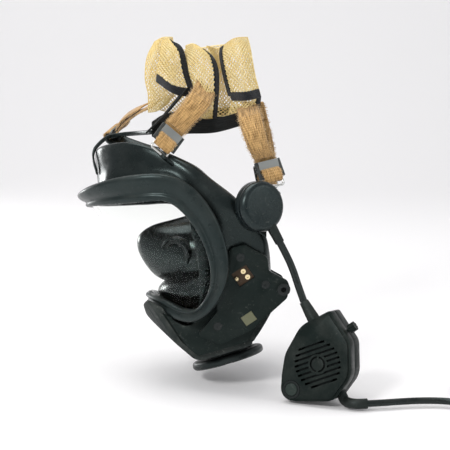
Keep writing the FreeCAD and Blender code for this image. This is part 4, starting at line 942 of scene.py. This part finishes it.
# %% Chin bowl
# x, centre height, half height, half width of each oval
BOWL = [(-77, -24, 1, 1), (-76, -24, 7, 12), (-71, -26, 12, 26), (-62, -31, 18, 40), (-48, -37, 24, 50),
        (-30, -44, 27, 56), (-12, -48, 26, 56)]


def bowl_point(u, v):
    """Point of the inner chin bowl: u from the tip to the back, v once round."""
    oval = curve_point([(x, mid, tall) for x, mid, tall, wide in BOWL], u)
    width = curve_point([(wide, 0, 0) for x, mid, tall, wide in BOWL], u).x
    angle = 2 * math.pi * v
    return world_mm(oval.x, width * math.sin(angle), oval.y + oval.z * math.cos(angle))


bowl_mesh, _, _ = grid_mesh("chin_bowl", bowl_point, 18, 40, wrap=True)
soft_piece("chin_bowl", bowl_mesh, cup_rubber, 2.0, 1)

# %% Small parts on the plates
bush_spots = [v.co * 1000 for v in nodes["lug_bushes"].data.vertices]
plate_out = (world_mm(0, -1, -0.2) - world_mm(0, 0, 0)).normalized()
LUG_CORE = [(0.05, 1.0), (4.2, 1.0), (4.2, -1.0), (0.05, -1.0)]     # radius and height
for label, hand in (("left", -1), ("right", 1)):
    spots = [spot for spot in bush_spots if spot.y * hand > 0]
    middle = sum(spots, Vector()) / len(spots)
    name = "lug_core_" + label
    soft_piece(name, lathe_mesh(name, LUG_CORE, middle, plate_out), speaker_black)

# %% [markdown]
# ## Softened edges of the hard parts
# Moulded parts never have knife edges, and a small round catches the light along every rim. The
# CAD shape is right, so a copy of each mesh is merged, its edges are rounded, and it takes the
# node's place.


# %% Softened copies
def softened(node, width, material, body="mask", segments=2, sharp=28):
    """Copy of a CAD node with rounded edges of this width, in millimetres, in the node's place."""
    bm = bmesh.new()
    bm.from_mesh(nodes[node].data)
    bmesh.ops.remove_doubles(bm, verts=bm.verts[:], dist=1e-6)
    bmesh.ops.dissolve_limit(bm, angle_limit=math.radians(0.8), verts=bm.verts[:], edges=bm.edges[:])
    for face in bm.faces:
        face.smooth = True
    mesh = bpy.data.meshes.new(node + "_soft")
    bm.to_mesh(mesh)
    bm.free()
    piece = soft_piece(node + "_soft", mesh, material)
    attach(piece, body)
    rounds = piece.modifiers.new("rounds", "BEVEL")
    rounds.width = width / 1000
    rounds.segments = segments
    rounds.limit_method = "ANGLE"
    rounds.angle_limit = math.radians(sharp)
    rounds.harden_normals = True
    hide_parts(node)
    return piece


softened("chin_housing", 1.2, housing_black)
softened("chin_guard", 1.2, guard_rubber)
softened("side_plate_left", 0.9, housing_black)
softened("side_plate_right", 0.9, housing_black)
softened("port_flange", 1.0, port_black, body="port_collar")
softened("module_cover", 0.6, module_black)
softened("module_base", 0.8, module_black)
softened("mic_front_shell", 1.0, mic_black)
softened("mic_back_shell", 1.0, mic_black)

# %% [markdown]
# ## Floor, backdrop and light
# A pale sheet curves up behind the set, as in a small studio. Four lamps light it: a large soft one
# above, a small one at the front left that draws the highlights on the rubber, a weak fill at the
# right, and a low one behind on the left that lights the edges of the brow and the cup.

# %% Floor and backdrop
sheet_white = bpy.data.materials.new("sheet_white")
sheet_white.use_nodes = True
tree = sheet_white.node_tree
surface = tree.nodes["Principled BSDF"]
surface.inputs["Base Color"].default_value = (0.90, 0.885, 0.885, 1)
surface.inputs["Roughness"].default_value = 0.9
surface.inputs["Emission Color"].default_value = (1, 0.985, 0.985, 1)
surface.inputs["Emission Strength"].default_value = 0.03

bm = bmesh.new()
first = bm.verts.new((-3, -2.2, FLOOR_Z))
second = bm.verts.new((-3, 1.2, FLOOR_Z))
edge = bm.edges.new((first, second))
bmesh.ops.spin(bm, geom=[second], cent=(0, 1.2, FLOOR_Z + 0.8), axis=(1, 0, 0), angle=math.radians(90),
               steps=16)
top = max(bm.verts, key=lambda v: v.co.z)
rise = bm.verts.new((-3, top.co.y, FLOOR_Z + 3))
bm.edges.new((top, rise))
wide = bmesh.ops.extrude_edge_only(bm, edges=bm.edges[:])
bmesh.ops.translate(bm, verts=[v for v in wide["geom"] if isinstance(v, bmesh.types.BMVert)], vec=(6, 0, 0))
bmesh.ops.recalc_face_normals(bm, faces=bm.faces[:])
backdrop_mesh = bpy.data.meshes.new("backdrop")
bm.to_mesh(backdrop_mesh)
bm.free()
for face in backdrop_mesh.polygons:
    face.use_smooth = True
backdrop = bpy.data.objects.new("backdrop", backdrop_mesh)
backdrop.data.materials.append(sheet_white)
bpy.context.scene.collection.objects.link(backdrop)


# %% Lamps and world
def lamp(name, place, size, power):
    """Square area lamp aimed at the mask."""
    light = bpy.data.lights.new(name, "AREA")
    light.size = size
    light.energy = power
    thing = bpy.data.objects.new(name, light)
    thing.location = place
    thing.rotation_euler = (Vector((0, 0, -0.05)) - Vector(place)).to_track_quat("-Z", "Y").to_euler()
    bpy.context.scene.collection.objects.link(thing)
    return thing


lamp("top_lamp", (-0.3, 0.1, 1.5), 1.2, 17)
lamp("left_lamp", (-0.75, -1.3, 0.95), 0.38, 15)
lamp("right_lamp", (1.5, -0.8, 0.6), 0.9, 4)
lamp("edge_lamp", (-0.85, 0.80, 0.02), 0.30, 3)
world = bpy.data.worlds.new("studio")
bpy.context.scene.world = world
world.use_nodes = True
world.node_tree.nodes["Background"].inputs["Color"].default_value = (0.95, 0.97, 1.0, 1)
world.node_tree.nodes["Background"].inputs["Strength"].default_value = 0.52
bpy.context.scene.view_settings.view_transform = "Standard"
